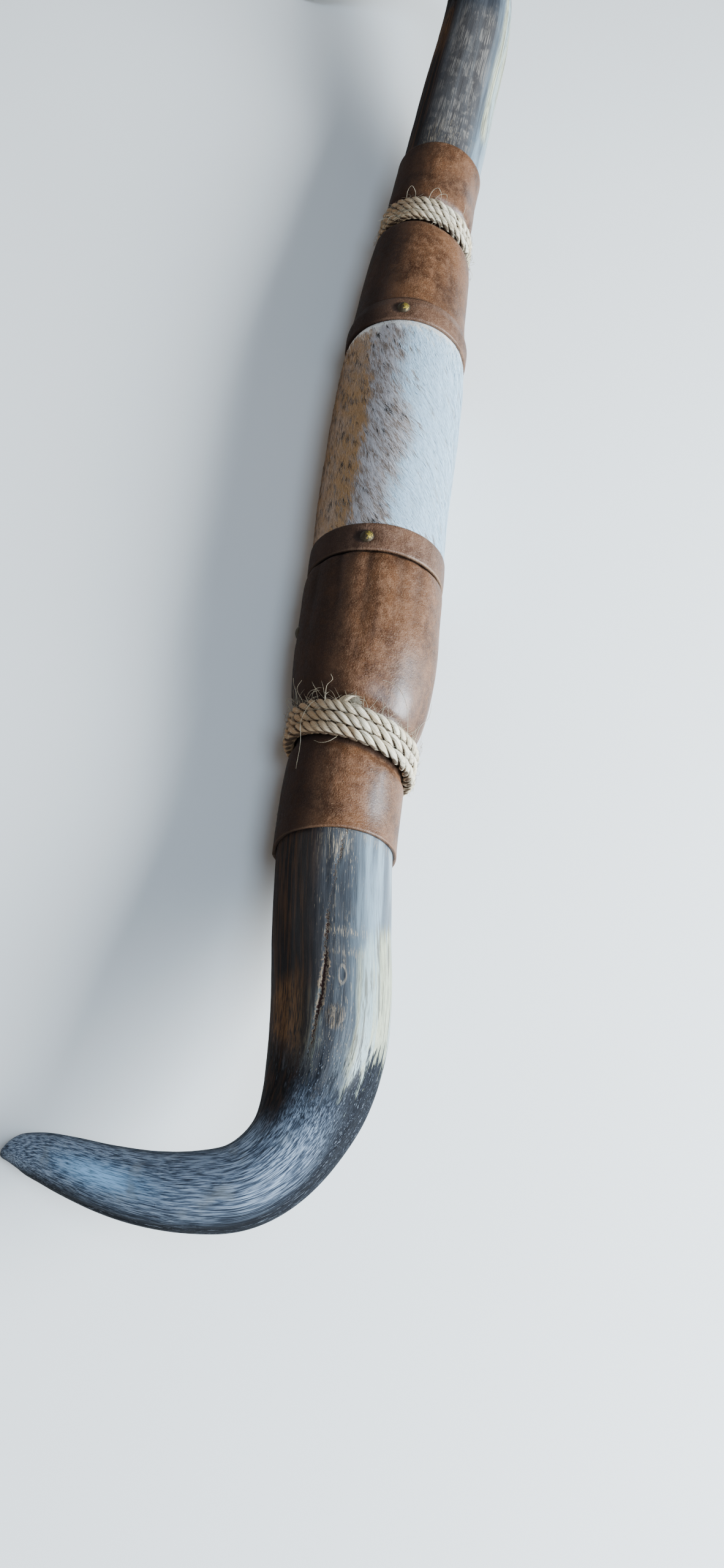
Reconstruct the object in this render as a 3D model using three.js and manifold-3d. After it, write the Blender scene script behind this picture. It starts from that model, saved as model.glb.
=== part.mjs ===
// A mounted pair of longhorn steer horns, in millimetres, lying on its back.
// The two horns are joined end to end by a turned wooden core. The core is wrapped in
// leather and cowhide, held by two straps, domed tacks and two bands of wound rope.
// X runs from the left tip to the right tip, Y is the side the tips point to, Z is up,
// and the origin is on the resting surface under the middle of the wrap.

import * as THREE from 'three';
import { mergeVertices } from 'three/addons/utils/BufferGeometryUtils.js';
import Module from 'manifold-3d';

const wasm = await Module();
wasm.setup();

// Driving dimensions

const SIDES = 24;                 // flat faces round every turned piece that shows
const CORE_SIDES = 12;            // flat faces round the hidden core
const TACK_SIDES = 8;
const GAP = 0.3;                  // clearance between pieces that touch
const LEATHER = 2.0;              // thickness of the sleeves
const STRAP_WIDTH = 20;
const STRAP_THICKNESS = 2.2;
const STRAP_EDGE = 0.6;           // rounding of a strap's outer edges
const JOINT = 1.6;                // half the gap between hide and sleeve under a strap
const ROPE = 7.6;                 // rope diameter, 5/16 in
const ROPE_TURNS = 3;
const ROPE_LEAN = Math.tan(8 * Math.PI / 180);  // the bands lean towards the left horn
const LEAN_REACH = 42;            // how far from a band its lean fades out
const TACK_HEAD = 9.5;            // head diameter, 3/8 in
const TACK_RISE = 3.2;
const TACK_SHANK = 1.9;
const TACK_LENGTH = 13;
const TACK_SINK = 1.0;            // how deep a head is pressed into the leather
const CUFF_LEFT = -301;           // stations of the sleeves' open ends
const CUFF_RIGHT = 276;
const POCKET_DEPTH = 92;          // hollow of a horn's base, filled by the core's spigot
const POCKET_RADIUS = 21;
const SHOULDER = 4;               // length of the core's neck between a horn's base and the band
const HORN_RINGS = 21;            // sections along the bare part of a horn

// Middle line of the whole object, from tip to tip, as points chosen by hand

const SPINE_POINTS = [
  [-493.5, 149.5, 2.8], [-493, 141, 7.3], [-493.5, 127.5, 14.9], [-496.5, 112.5, 24.9],
  [-501, 91.5, 39.5], [-503.5, 69.5, 53.5], [-502.5, 49, 66], [-497.5, 28.5, 76.5],
  [-488.5, 16, 82.5], [-474, 5.5, 86], [-451, -2.5, 86], [-424.5, -6, 81.5],
  [-397, -6, 74], [-351, -3, 57.5], [-300, 0, 45], [-262, 1, 44.4],
  [-200, -1, 44.6], [-110, 1, 44.5], [-50, 3.5, 44.3], [0, 4, 44.2],
  [60, 4.5, 44], [125, 5.2, 44], [190, 4.2, 44], [255, 2.2, 44.2],
  [300, -0.8, 45], [349, -2.6, 57.5], [394, -4.3, 73.5], [423, -4, 81],
  [450, -1, 85.5], [474, 7, 85.5], [489, 18, 81.5], [499, 31, 76],
  [505, 50.5, 65.5], [506.5, 71, 53], [505, 92.5, 38.5], [501.5, 113, 24.3],
  [499, 127.5, 14.2], [498.5, 140.5, 6.1], [498.5, 148, 2.6],
];

// Radii at stations along the middle line, counted in millimetres from the wrap's middle

const HORN_LEFT = [
  [-658.5, 0], [-657.5, 2.6], [-654, 5.8], [-649, 8.6], [-633, 12.6], [-616, 14.8],
  [-590, 17], [-564, 18.5], [-540, 19.8], [-517, 21.1], [-500, 22.1], [-481, 23.9],
  [-457, 28.2], [-430, 31.6], [-402, 33], [-353, 34], [CUFF_LEFT, 34.8],
];
const HORN_RIGHT = [
  [CUFF_RIGHT, 30.9], [310, 30.9], [350, 30.1], [398, 28.8], [428, 27.3],
  [455, 24.6], [479, 21], [498, 19.6], [515, 18.8], [538, 17.8], [562, 16.7],
  [588, 15.4], [614, 13.3], [631, 11.2], [646, 7.6], [651, 5.1], [654.5, 2.4], [655.5, 0],
];
const LEFT = {
  cuff: CUFF_LEFT,
  strap: { at: -100.5, radius: 45.1, tackAngles: [112, 352, 232] },
  rope: { at: -231, radius: 34.8 },
  base: -251,
  sleeve: [
    [CUFF_LEFT, 37.1], [-262, 37.1], [-249, 36.6], [-244, 34.6], [-218, 34.6],
    [-212, 39.2], [-203, 42.4], [-186, 44.7], [-167, 46], [-140, 45.8], [-112.6, 44.6],
  ],
};
const RIGHT = {
  cuff: CUFF_RIGHT,
  strap: { at: 94, radius: 44, tackAngles: [108, 352, 232] },
  rope: { at: 201.5, radius: 29.4 },
  base: 227,
  sleeve: [
    [106.1, 41.5], [125, 39.8], [152, 38.6], [173.5, 37.6], [183.5, 35.4], [188.5, 29.2],
    [214.5, 29.2], [220.5, 32.8], [250, 33.1], [CUFF_RIGHT, 33.3],
  ],
};
const HIDE_PANEL = [
  [-88.6, 44.5], [-35, 45.3], [20, 45.8], [62, 45.3], [82.1, 43.9],
];

// Seam tacks, with their angles in degrees from the outer side, up over the top

const SLEEVE_TACKS = [
  { name: 'tack_seam_left_1', at: -153, angle: 187 },
  { name: 'tack_seam_left_2', at: -276, angle: 206 },
  { name: 'tack_seam_right_1', at: 143, angle: 206 },
  { name: 'tack_seam_right_2', at: 258, angle: 206 },
];

// Materials

function finish(color, roughness, metalness = 0) {
  return new THREE.MeshStandardMaterial({ color, roughness, metalness });
}

const hornLook = finish(0x5b5a5e, 0.42);
const leatherLook = finish(0x6e4027, 0.5);
const strapLook = finish(0x7a4a30, 0.5);
const hideLook = finish(0xd9d4cb, 0.85);
const ropeLook = finish(0xcdb287, 0.9);
const woodLook = finish(0xb48a5c, 0.7);
const brassLook = finish(0x9a7a34, 0.35, 0.9);

// The middle line as a curve, with stations in millimetres

const spine = new THREE.CatmullRomCurve3(SPINE_POINTS.map((point) => new THREE.Vector3(...point)));
spine.arcLengthDivisions = 3000;
const SPINE_LENGTH = spine.getLength();
const MIDDLE = lengthToMiddle();

function lengthToMiddle() {
  const lengths = spine.getLengths(3000);
  const steps = lengths.length - 1;
  for (let i = 0; i <= steps; i += 1) {
    if (spine.getPoint(i / steps).x >= 0) {
      return lengths[i];
    }
  }
  return SPINE_LENGTH / 2;
}

// Where a point lies that is "across" to the outer side and "up" from the middle line

function frameAt(station) {
  const part = THREE.MathUtils.clamp((station + MIDDLE) / SPINE_LENGTH, 0, 1);
  const origin = spine.getPointAt(part);
  const along = spine.getTangentAt(part);
  const outer = new THREE.Vector3().crossVectors(along, new THREE.Vector3(0, 0, 1)).normalize();
  const upward = new THREE.Vector3().crossVectors(outer, along);
  return { origin, along, outer, upward };
}

// The rope bands lean, and what lies near them leans with them

function leaned(station, across) {
  let shift = 0;
  for (const side of [LEFT, RIGHT]) {
    const away = Math.abs(station - side.rope.at) / LEAN_REACH;
    shift -= ROPE_LEAN * across * (1 - THREE.MathUtils.smoothstep(away, 0.3, 1));
  }
  return station + shift;
}

function place(station, across, up) {
  const { origin, outer, upward } = frameAt(leaned(station, across));
  return origin.addScaledVector(outer, across).addScaledVector(upward, up);
}

// A piece turned round the middle line. The profile is a list of [station, radius] that
// starts and ends on the line or closes on itself. Soft pieces are pressed flat below.

function turned(profile, { isSoft = false, sides = SIDES } = {}) {
  const points = profile.map(([station, radius]) => new THREE.Vector2(radius, station));
  const geometry = new THREE.LatheGeometry(points, sides, Math.PI / SIDES);
  const position = geometry.getAttribute('position');
  for (let i = 0; i < position.count; i += 1) {
    const point = place(position.getY(i), position.getX(i), position.getZ(i));
    position.setXYZ(i, point.x, point.y, isSoft ? Math.max(point.z, 0) : point.z);
  }
  return closed(geometry);
}

function closed(geometry) {
  geometry.deleteAttribute('normal');
  geometry.deleteAttribute('uv');
  const merged = mergeVertices(geometry, 1e-3);
  const index = merged.getIndex();
  const kept = [];
  for (let i = 0; i < index.count; i += 3) {
    const [a, b, c] = [index.getX(i), index.getX(i + 1), index.getX(i + 2)];
    if (a !== b && b !== c && c !== a) {
      kept.push(a, b, c);
    }
  }
  merged.setIndex(kept);
  return merged;
}

function shell(outer, thickness) {
  const inner = outer.map(([station, radius]) => [station, radius - thickness]).reverse();
  return [...outer, ...inner, outer[0]];
}

// Radius of a list of [station, radius] at one station

function radiusAt(profile, station) {
  for (let i = 1; i < profile.length; i += 1) {
    const [from, low] = profile[i - 1];
    const [to, high] = profile[i];
    if (station <= to) {
      return THREE.MathUtils.mapLinear(Math.max(station, from), from, to, low, high);
    }
  }
  return profile[profile.length - 1][1];
}

// Under a strap the hide and the sleeve are squeezed to the strap's inner radius

function underStrap(side) {
  return side.strap.radius - STRAP_THICKNESS - GAP;
}

function sleeveOuter(side) {
  const squeezed = underStrap(side);
  const away = Math.sign(side.strap.at);
  const edge = [side.strap.at + away * JOINT, squeezed];
  const bend = [side.strap.at + away * (STRAP_WIDTH / 2 + GAP), squeezed];
  return away < 0 ? [...side.sleeve, bend, edge] : [edge, bend, ...side.sleeve];
}

function hideOuter() {
  const leftBend = [LEFT.strap.at + STRAP_WIDTH / 2 + GAP, underStrap(LEFT)];
  const rightBend = [RIGHT.strap.at - STRAP_WIDTH / 2 - GAP, underStrap(RIGHT)];
  const leftEdge = [LEFT.strap.at + JOINT, underStrap(LEFT)];
  const rightEdge = [RIGHT.strap.at - JOINT, underStrap(RIGHT)];
  return [leftEdge, leftBend, ...HIDE_PANEL, rightBend, rightEdge];
}

// Horns, each one grown piece with a hollow base

function horn(side, radii) {
  const into = Math.sign(side.base);
  const smooth = new THREE.SplineCurve(radii.map(([station, radius]) => new THREE.Vector2(station, radius)));
  const bare = smooth.getPoints(HORN_RINGS).map((point) => [point.x, Math.max(point.y, 0)]);
  const inSleeve = (station) => [station, radiusAt(side.sleeve, station) - LEATHER - GAP];
  const hidden = side.sleeve
    .map(([station]) => station)
    .filter((station) => Math.abs(station) > Math.abs(side.base) && Math.abs(station) < Math.abs(side.cuff))
    .map(inSleeve);
  const pocket = [
    [side.base, POCKET_RADIUS],
    [side.base + into * POCKET_DEPTH * 0.75, POCKET_RADIUS * 0.8],
    [side.base + into * POCKET_DEPTH, 0],
  ];
  const profile = into < 0
    ? [...bare, ...hidden, inSleeve(side.base), ...pocket]
    : [...pocket.reverse(), inSleeve(side.base), ...hidden, ...bare];
  return turned(profile);
}

// The core: a spigot into each horn, a shoulder against its base, and the wrapped middle

function core() {
  const inside = LEATHER + GAP;
  const spigot = (side) => {
    const into = Math.sign(side.base);
    return [
      [side.base + into * (POCKET_DEPTH - 2), 0],
      [side.base + into * POCKET_DEPTH * 0.72, POCKET_RADIUS * 0.8 - 1],
      [side.base - into * GAP, POCKET_RADIUS - 1],
    ];
  };
  const shoulder = (side) => [side.base - Math.sign(side.base) * GAP, side.rope.radius - GAP - inside];
  const wrapped = (side) => sleeveOuter(side)
    .filter(([station]) => Math.abs(station) < Math.abs(side.base) - SHOULDER)
    .map(([station, radius]) => [station, radius - inside]);
  const middle = hideOuter().map(([station, radius]) => [station, radius - inside]);
  return [
    ...spigot(LEFT), shoulder(LEFT), ...wrapped(LEFT),
    ...middle,
    ...wrapped(RIGHT), shoulder(RIGHT), ...spigot(RIGHT).reverse(),
  ];
}

// Straps and rope bands

function strap({ at, radius }) {
  const half = STRAP_WIDTH / 2;
  const inner = radius - STRAP_THICKNESS;
  return [
    [at - half, inner], [at - half, radius - STRAP_EDGE], [at - half + STRAP_EDGE, radius],
    [at + half - STRAP_EDGE, radius], [at + half, radius - STRAP_EDGE], [at + half, inner],
    [at - half, inner],
  ];
}

function ropeBand({ at, radius }) {
  const half = ROPE / 2;
  const start = at - half * ROPE_TURNS;
  const profile = [];
  for (let turn = 0; turn < ROPE_TURNS; turn += 1) {
    const middle = start + half + turn * ROPE;
    for (const degrees of [155, 90, 25]) {
      const angle = THREE.MathUtils.degToRad(degrees);
      profile.push([middle + half * Math.cos(angle), radius + half + half * Math.sin(angle)]);
    }
  }
  const first = [start + 1.5, radius];
  const last = [at + half * ROPE_TURNS - 1.5, radius];
  return [first, ...profile, last, first];
}

// Tacks: a domed head and a pointed shank, driven square to the surface

function tackGeometry(clearance = 0) {
  const head = TACK_HEAD / 2 + clearance;
  const shank = TACK_SHANK / 2 + clearance;
  const dome = [[0, -TACK_LENGTH - clearance], [shank, -TACK_LENGTH + 3 - clearance], [shank, -clearance]];
  dome.push([head, -clearance], [head * 0.78, TACK_RISE * 0.62 + clearance], [0, TACK_RISE + clearance]);
  return new THREE.LatheGeometry(dome.map(([radius, height]) => new THREE.Vector2(radius, height)), TACK_SIDES);
}

function tackMatrix(station, degrees, radius) {
  const angle = THREE.MathUtils.degToRad(degrees);
  const across = Math.cos(angle);
  const up = Math.sin(angle);
  const foot = place(station, across * radius, up * radius);
  const root = place(station, 0, 0);
  const outward = foot.clone().sub(root).normalize();
  const turn = new THREE.Quaternion().setFromUnitVectors(new THREE.Vector3(0, 1, 0), outward);
  return new THREE.Matrix4().compose(foot, turn, new THREE.Vector3(1, 1, 1));
}

// Solids for cutting: each tack's own room is cut out of what it is driven through

function solidOf(geometry) {
  const merged = closed(geometry.clone());
  return new wasm.Manifold(new wasm.Mesh({
    numProp: 3,
    vertProperties: new Float32Array(merged.getAttribute('position').array),
    triVerts: new Uint32Array(merged.getIndex().array),
  }));
}

function geometryOf(solid) {
  const mesh = solid.getMesh();
  const geometry = new THREE.BufferGeometry();
  geometry.setAttribute('position', new THREE.BufferAttribute(new Float32Array(mesh.vertProperties), 3));
  geometry.setIndex(new THREE.BufferAttribute(new Uint32Array(mesh.triVerts), 1));
  return geometry;
}

// The assembly

const tacks = [];
for (const [side, word] of [[LEFT, 'left'], [RIGHT, 'right']]) {
  side.strap.tackAngles.forEach((angle, i) => {
    tacks.push({ name: `tack_strap_${word}_${i + 1}`, at: side.strap.at, angle, radius: side.strap.radius });
  });
}
for (const tack of SLEEVE_TACKS) {
  const side = tack.at < 0 ? LEFT : RIGHT;
  tacks.push({ ...tack, radius: radiusAt(sleeveOuter(side), tack.at) });
}
for (const tack of tacks) {
  const flat = Math.cos(Math.PI / SIDES);
  tack.matrix = tackMatrix(tack.at, tack.angle, tack.radius * flat - TACK_SINK);
}

function withTackHoles(geometry) {
  let solid = solidOf(geometry);
  for (const tack of tacks) {
    const room = tackGeometry(GAP);
    room.applyMatrix4(tack.matrix);
    solid = solid.subtract(solidOf(room));
  }
  return geometryOf(solid);
}

const object = new THREE.Group();
const SOFT = { isSoft: true };

function add(name, geometry, look) {
  const mesh = new THREE.Mesh(geometry, look);
  mesh.name = name;
  object.add(mesh);
}

add('horn_left', withTackHoles(horn(LEFT, HORN_LEFT)), hornLook);
add('horn_right', withTackHoles(horn(RIGHT, HORN_RIGHT)), hornLook);
add('wood_core', withTackHoles(turned(core(), { sides: CORE_SIDES })), woodLook);
add('leather_sleeve_left', withTackHoles(turned(shell(sleeveOuter(LEFT), LEATHER), SOFT)), leatherLook);
add('leather_sleeve_right', withTackHoles(turned(shell(sleeveOuter(RIGHT), LEATHER), SOFT)), leatherLook);
add('cowhide_panel', turned(shell(hideOuter(), LEATHER), SOFT), hideLook);
add('strap_left', withTackHoles(turned(strap(LEFT.strap), SOFT)), strapLook);
add('strap_right', withTackHoles(turned(strap(RIGHT.strap), SOFT)), strapLook);
add('rope_left', turned(ropeBand(LEFT.rope), SOFT), ropeLook);
add('rope_right', turned(ropeBand(RIGHT.rope), SOFT), ropeLook);
for (const tack of tacks) {
  const geometry = closed(tackGeometry());
  geometry.applyMatrix4(tack.matrix);
  add(tack.name, geometry, brassLook);
}

export default object;
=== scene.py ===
# The finished surfaces of a mounted pair of longhorn steer horns, lying on its back.
# Drawing lengths are millimetres, and become metres where a vertex gets its place.
# Stations are counted along the middle line of the whole object, from the wrap's middle,
# and angles in degrees from the outer side (0), over the top (90), to the side of the tips.

import math

import bmesh
import bpy
import numpy as np
from mathutils import Matrix, Vector


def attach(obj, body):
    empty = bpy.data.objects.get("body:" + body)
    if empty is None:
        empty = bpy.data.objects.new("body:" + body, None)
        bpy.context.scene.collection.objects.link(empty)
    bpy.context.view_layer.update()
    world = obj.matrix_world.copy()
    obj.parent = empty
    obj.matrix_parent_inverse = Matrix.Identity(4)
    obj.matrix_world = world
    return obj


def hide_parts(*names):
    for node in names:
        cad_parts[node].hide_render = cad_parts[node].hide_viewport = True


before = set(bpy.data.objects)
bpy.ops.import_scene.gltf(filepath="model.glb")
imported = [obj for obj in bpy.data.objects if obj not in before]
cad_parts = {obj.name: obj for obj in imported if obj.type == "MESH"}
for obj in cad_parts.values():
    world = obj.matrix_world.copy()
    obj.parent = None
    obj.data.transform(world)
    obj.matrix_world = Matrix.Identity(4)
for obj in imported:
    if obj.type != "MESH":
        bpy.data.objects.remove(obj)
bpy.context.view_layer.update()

MM = 0.001
BODY = "root"

# Named values of the part's drawing

SPINE_POINTS = [
    [-493.5, 149.5, 2.8], [-493, 141, 7.3], [-493.5, 127.5, 14.9], [-496.5, 112.5, 24.9],
    [-501, 91.5, 39.5], [-503.5, 69.5, 53.5], [-502.5, 49, 66], [-497.5, 28.5, 76.5],
    [-488.5, 16, 82.5], [-474, 5.5, 86], [-451, -2.5, 86], [-424.5, -6, 81.5],
    [-397, -6, 74], [-351, -3, 57.5], [-300, 0, 45], [-262, 1, 44.4],
    [-200, -1, 44.6], [-110, 1, 44.5], [-50, 3.5, 44.3], [0, 4, 44.2],
    [60, 4.5, 44], [125, 5.2, 44], [190, 4.2, 44], [255, 2.2, 44.2],
    [300, -0.8, 45], [349, -2.6, 57.5], [394, -4.3, 73.5], [423, -4, 81],
    [450, -1, 85.5], [474, 7, 85.5], [489, 18, 81.5], [499, 31, 76],
    [505, 50.5, 65.5], [506.5, 71, 53], [505, 92.5, 38.5], [501.5, 113, 24.3],
    [499, 127.5, 14.2], [498.5, 140.5, 6.1], [498.5, 148, 2.6],
]
GAP = 0.3
LEATHER = 2.0
STRAP_WIDTH = 20
STRAP_THICKNESS = 2.2
JOINT = 1.6
ROPE_LEAN = math.tan(math.radians(8))
LEAN_REACH = 42
TACK_HEAD = 9.5
TACK_RISE = 3.2
TACK_SHANK = 1.9
TACK_LENGTH = 13
TACK_SINK = 1.0
CUFF_LEFT = -301
CUFF_RIGHT = 276
POCKET_DEPTH = 92
POCKET_RADIUS = 21
HORN_LEFT = [
    [-658.5, 0], [-657.5, 2.6], [-654, 5.8], [-649, 8.6], [-633, 12.6], [-616, 14.8],
    [-590, 17], [-564, 18.5], [-540, 19.8], [-517, 21.1], [-500, 22.1], [-481, 23.9],
    [-457, 28.2], [-430, 31.6], [-402, 33], [-353, 34], [CUFF_LEFT, 34.8],
]
HORN_RIGHT = [
    [CUFF_RIGHT, 30.9], [310, 30.9], [350, 30.1], [398, 28.8], [428, 27.3],
    [455, 24.6], [479, 21], [498, 19.6], [515, 18.8], [538, 17.8], [562, 16.7],
    [588, 15.4], [614, 13.3], [631, 11.2], [646, 7.6], [651, 5.1], [654.5, 2.4], [655.5, 0],
]
LEFT = {
    "word": "left",
    "away": -1,
    "cuff": CUFF_LEFT,
    "strap": {"at": -100.5, "radius": 45.1, "tacks": [112, 352, 232]},
    "rope": {"at": -231, "radius": 34.8, "size": 7.6},
    "base": -251,
    "shine": -194,
    "sleeve": [
        [CUFF_LEFT, 37.1], [-262, 37.1], [-249, 36.6], [-244, 34.6], [-218, 34.6],
        [-212, 39.2], [-203, 42.4], [-186, 44.7], [-167, 46], [-140, 45.8], [-112.6, 44.6],
    ],
}
RIGHT = {
    "word": "right",
    "away": 1,
    "cuff": CUFF_RIGHT,
    "strap": {"at": 94, "radius": 44, "tacks": [108, 352, 232]},
    "rope": {"at": 202.3, "radius": 29.4, "size": 6.7},
    "base": 227,
    "shine": 235,
    "sleeve": [
        [106.1, 41.5], [125, 39.8], [152, 38.6], [173.5, 37.6], [186, 35.3], [190.5, 29.2],
        [214.5, 29.2], [220.5, 32.8], [250, 33.1], [CUFF_RIGHT, 33.3],
    ],
}
HIDE_PANEL = [[-88.6, 44.5], [-35, 45.3], [20, 45.8], [62, 45.3], [82.1, 43.9]]
SLEEVE_TACKS = [
    {"node": "tack_seam_left_1", "at": -153, "angle": 187, "side": LEFT},
    {"node": "tack_seam_left_2", "at": -276, "angle": 206, "side": LEFT},
    {"node": "tack_seam_right_1", "at": 143, "angle": 206, "side": RIGHT},
    {"node": "tack_seam_right_2", "at": 258, "angle": 206, "side": RIGHT},
]
CAD_SIDES = 24

# The camera, at the photograph's viewing angle

CAMERA_AT = (-0.54789, 0.11311, 0.70756)
CAMERA_RIGHT = (0.136, -0.96128, 0.23967)
CAMERA_UP = (0.90503, 0.21896, 0.36465)
CAMERA_FORWARD = (0.40301, -0.16732, -0.89977)
CAMERA_LENS = 27.42
CAMERA_SENSOR = 36
CAMERA_NEAREST = 0.01
CAMERA_FARTHEST = 100


def make_camera():
    data = bpy.data.cameras.new("photo_camera")
    data.lens = CAMERA_LENS
    data.sensor_width = CAMERA_SENSOR
    data.clip_start = CAMERA_NEAREST
    data.clip_end = CAMERA_FARTHEST
    camera = bpy.data.objects.new("photo_camera", data)
    back = [-part for part in CAMERA_FORWARD]
    columns = [CAMERA_RIGHT, CAMERA_UP, back, CAMERA_AT]
    rows = [[column[i] for column in columns] for i in range(3)]
    camera.matrix_world = Matrix(rows + [[0, 0, 0, 1]])
    bpy.context.scene.collection.objects.link(camera)
    bpy.context.scene.camera = camera


# The middle line, and places measured from it

SPINE_STEPS = 80
CURVE_STEPS = 24


def smooth_curve(points, steps):
    """A rounded line through the points, with even knots by the root of their distance."""
    points = np.array(points, dtype=float)
    guide = np.vstack([2 * points[0] - points[1], points, 2 * points[-1] - points[-2]])
    part = np.linspace(0, 1, steps, endpoint=False)[:, None]
    rows = []
    for before, start, end, after in zip(guide, guide[1:], guide[2:], guide[3:]):
        pairs = ((before, start), (start, end), (end, after))
        lead, span, trail = [np.linalg.norm(b - a) ** 0.5 for a, b in pairs]
        chord = (end - start) / span
        leave = ((start - before) / lead - (end - before) / (lead + span) + chord) * span
        arrive = (chord - (after - start) / (span + trail) + (after - end) / trail) * span
        bend = 3 * (end - start) - 2 * leave - arrive
        twist = 2 * (start - end) + leave + arrive
        rows.append(start + leave * part + bend * part**2 + twist * part**3)
    rows.append(points[-1:])
    return np.vstack(rows)


def running_length(points):
    steps = np.linalg.norm(np.diff(points, axis=0), axis=1)
    return np.concatenate([[0], np.cumsum(steps)])


SPINE = smooth_curve(SPINE_POINTS, SPINE_STEPS)
LENGTHS = running_length(SPINE)
MIDDLE = LENGTHS[int(np.argmax(SPINE[:, 0] >= 0))]


def smoothstep(value, low, high):
    part = np.clip((value - low) / (high - low), 0, 1)
    return part * part * (3 - 2 * part)


def hump(away, width=1.0):
    """1 where this distance is nothing, with a soft fall to 0 on both sides."""
    return np.exp(-((away / width) ** 2))


def read_table(rows, at):
    """Values at these places, from rows of a place and its value."""
    return np.interp(at, *np.array(rows, dtype=float).T)


def turn_from(angles, middle):
    """Degrees from this angle, from -180 to 180."""
    return (angles - middle + 180) % 360 - 180


def facing(angles, start, full, fade=225, end=262):
    """1 on one side of the object, by default the side of the tips, fading at both ends."""
    return smoothstep(angles, start, full) * (1 - smoothstep(angles, fade, end))


def frames_at(stations):
    length = np.clip(stations + MIDDLE, 0, LENGTHS[-1])
    ahead = np.clip(length + 0.5, 0, LENGTHS[-1])
    behind = np.clip(length - 0.5, 0, LENGTHS[-1])

    def sampled(at):
        return np.stack([np.interp(at, LENGTHS, SPINE[:, k]) for k in range(3)], -1)

    along = sampled(ahead) - sampled(behind)
    along /= np.linalg.norm(along, axis=-1, keepdims=True)
    outer = np.cross(along, [0.0, 0.0, 1.0])
    outer /= np.linalg.norm(outer, axis=-1, keepdims=True)
    upward = np.cross(outer, along)
    return sampled(length), outer, upward


def leaned(stations, across):
    shift = np.zeros_like(across)
    for side in (LEFT, RIGHT):
        away = np.abs(stations - side["rope"]["at"]) / LEAN_REACH
        shift -= ROPE_LEAN * across * (1 - smoothstep(away, 0.3, 1))
    return stations + shift


def placed(stations, angles, radii, is_soft=True):
    """Points in metres at these stations, angles in degrees and radii."""
    across = np.cos(np.radians(angles)) * radii
    up = np.sin(np.radians(angles)) * radii
    origin, outer, upward = frames_at(leaned(stations, across))
    points = origin + outer * across[..., None] + upward * up[..., None]
    if is_soft:
        points[..., 2] = np.maximum(points[..., 2], 0)
    return points * MM


# Patchy fields, smooth and the same in each run

TABLE_ROWS = 97
ROW_SHIFT = 500.0


def patches(seed, stations, angles, length, cells):
    """Values from 0 to 1 that change over so many mm along and in so many cells around."""
    table = np.random.default_rng(seed).random((TABLE_ROWS, cells))
    row = stations / length + ROW_SHIFT
    column = angles / 360 * cells
    row_low = np.floor(row).astype(int)
    column_low = np.floor(column).astype(int)
    row_part = smoothstep(row - row_low, 0, 1)
    column_part = smoothstep(column - column_low, 0, 1)

    def corner(down, over):
        return table[(row_low + down) % TABLE_ROWS, (column_low + over) % cells]

    near = corner(0, 0) * (1 - column_part) + corner(0, 1) * column_part
    far = corner(1, 0) * (1 - column_part) + corner(1, 1) * column_part
    return near * (1 - row_part) + far * row_part


def layered_patches(seed, stations, angles, length, cells):
    total = patches(seed, stations, angles, length, cells)
    total = total + 0.5 * patches(seed + 1, stations, angles, length / 2, cells * 2)
    total = total + 0.25 * patches(seed + 2, stations, angles, length / 4, cells * 4)
    return total / 1.75


def between_angles(angles, middle, half):
    """1 in the middle of a span of angles, and 0 from its ends on."""
    away = np.abs(turn_from(angles, middle))
    return 1 - smoothstep(away, half * 0.4, half)


# Mesh work


def piece_from(bm, name, material, nodes=()):
    bmesh.ops.recalc_face_normals(bm, faces=bm.faces[:])
    mesh = bpy.data.meshes.new(name)
    bm.to_mesh(mesh)
    bm.free()
    return piece_of_mesh(mesh, name, material, nodes)


def piece_of_mesh(mesh, name, material, nodes=()):
    mesh.materials.append(material)
    mesh.polygons.foreach_set("use_smooth", [True] * len(mesh.polygons))
    piece = bpy.data.objects.new(name, mesh)
    bpy.context.scene.collection.objects.link(piece)
    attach(piece, BODY)
    if nodes:
        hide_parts(*nodes)
    return piece


def turned(profile, sides, relief=None, marks=None, is_soft=True, slide=None):
    """A grid wrapped round the middle line. A profile row is station, radius, outsideness."""
    profile = np.array(profile, dtype=float)
    rows = len(profile) - 1
    bm = bmesh.new()
    bmesh.ops.create_grid(bm, x_segments=rows, y_segments=sides, size=0.5)
    flat = np.array([vert.co[:2] for vert in bm.verts]) + 0.5
    row = np.rint(flat[:, 0] * rows).astype(int)
    stations, radii, outside = profile[row].T
    angles = np.rint(flat[:, 1] * sides) * 360 / sides
    if relief:
        radii = radii + relief(stations, angles, radii) * outside
    moved = slide(stations, angles, radii) if slide else stations
    points = placed(moved, angles, radii, is_soft)
    straight = bm.verts.layers.float_vector.new("straight")
    layers = {}
    for label, values in (marks(stations, angles, radii) if marks else {}).items():
        layers[bm.verts.layers.float.new(label)] = values
    flat_x = np.cos(np.radians(angles)) * np.maximum(radii, 0) * MM
    flat_y = np.sin(np.radians(angles)) * np.maximum(radii, 0) * MM
    for i, vert in enumerate(bm.verts):
        vert.co = points[i]
        vert[straight] = (flat_x[i], flat_y[i], stations[i] * MM)
        for layer, values in layers.items():
            vert[layer] = values[i]
    bmesh.ops.remove_doubles(bm, verts=bm.verts[:], dist=1e-6)
    return bm


def finely(points, step):
    """The rows of a profile, rounded and spaced about so many mm apart."""
    line = smooth_curve(points, CURVE_STEPS)
    lengths = running_length(line)
    count = max(int(math.ceil(lengths[-1] / step)), 2)
    at = np.linspace(0, lengths[-1], count + 1)
    return [[np.interp(spot, lengths, line[:, k]) for k in range(2)] for spot in at]


def radius_at(profile, station):
    return float(read_table(profile, station))


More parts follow.
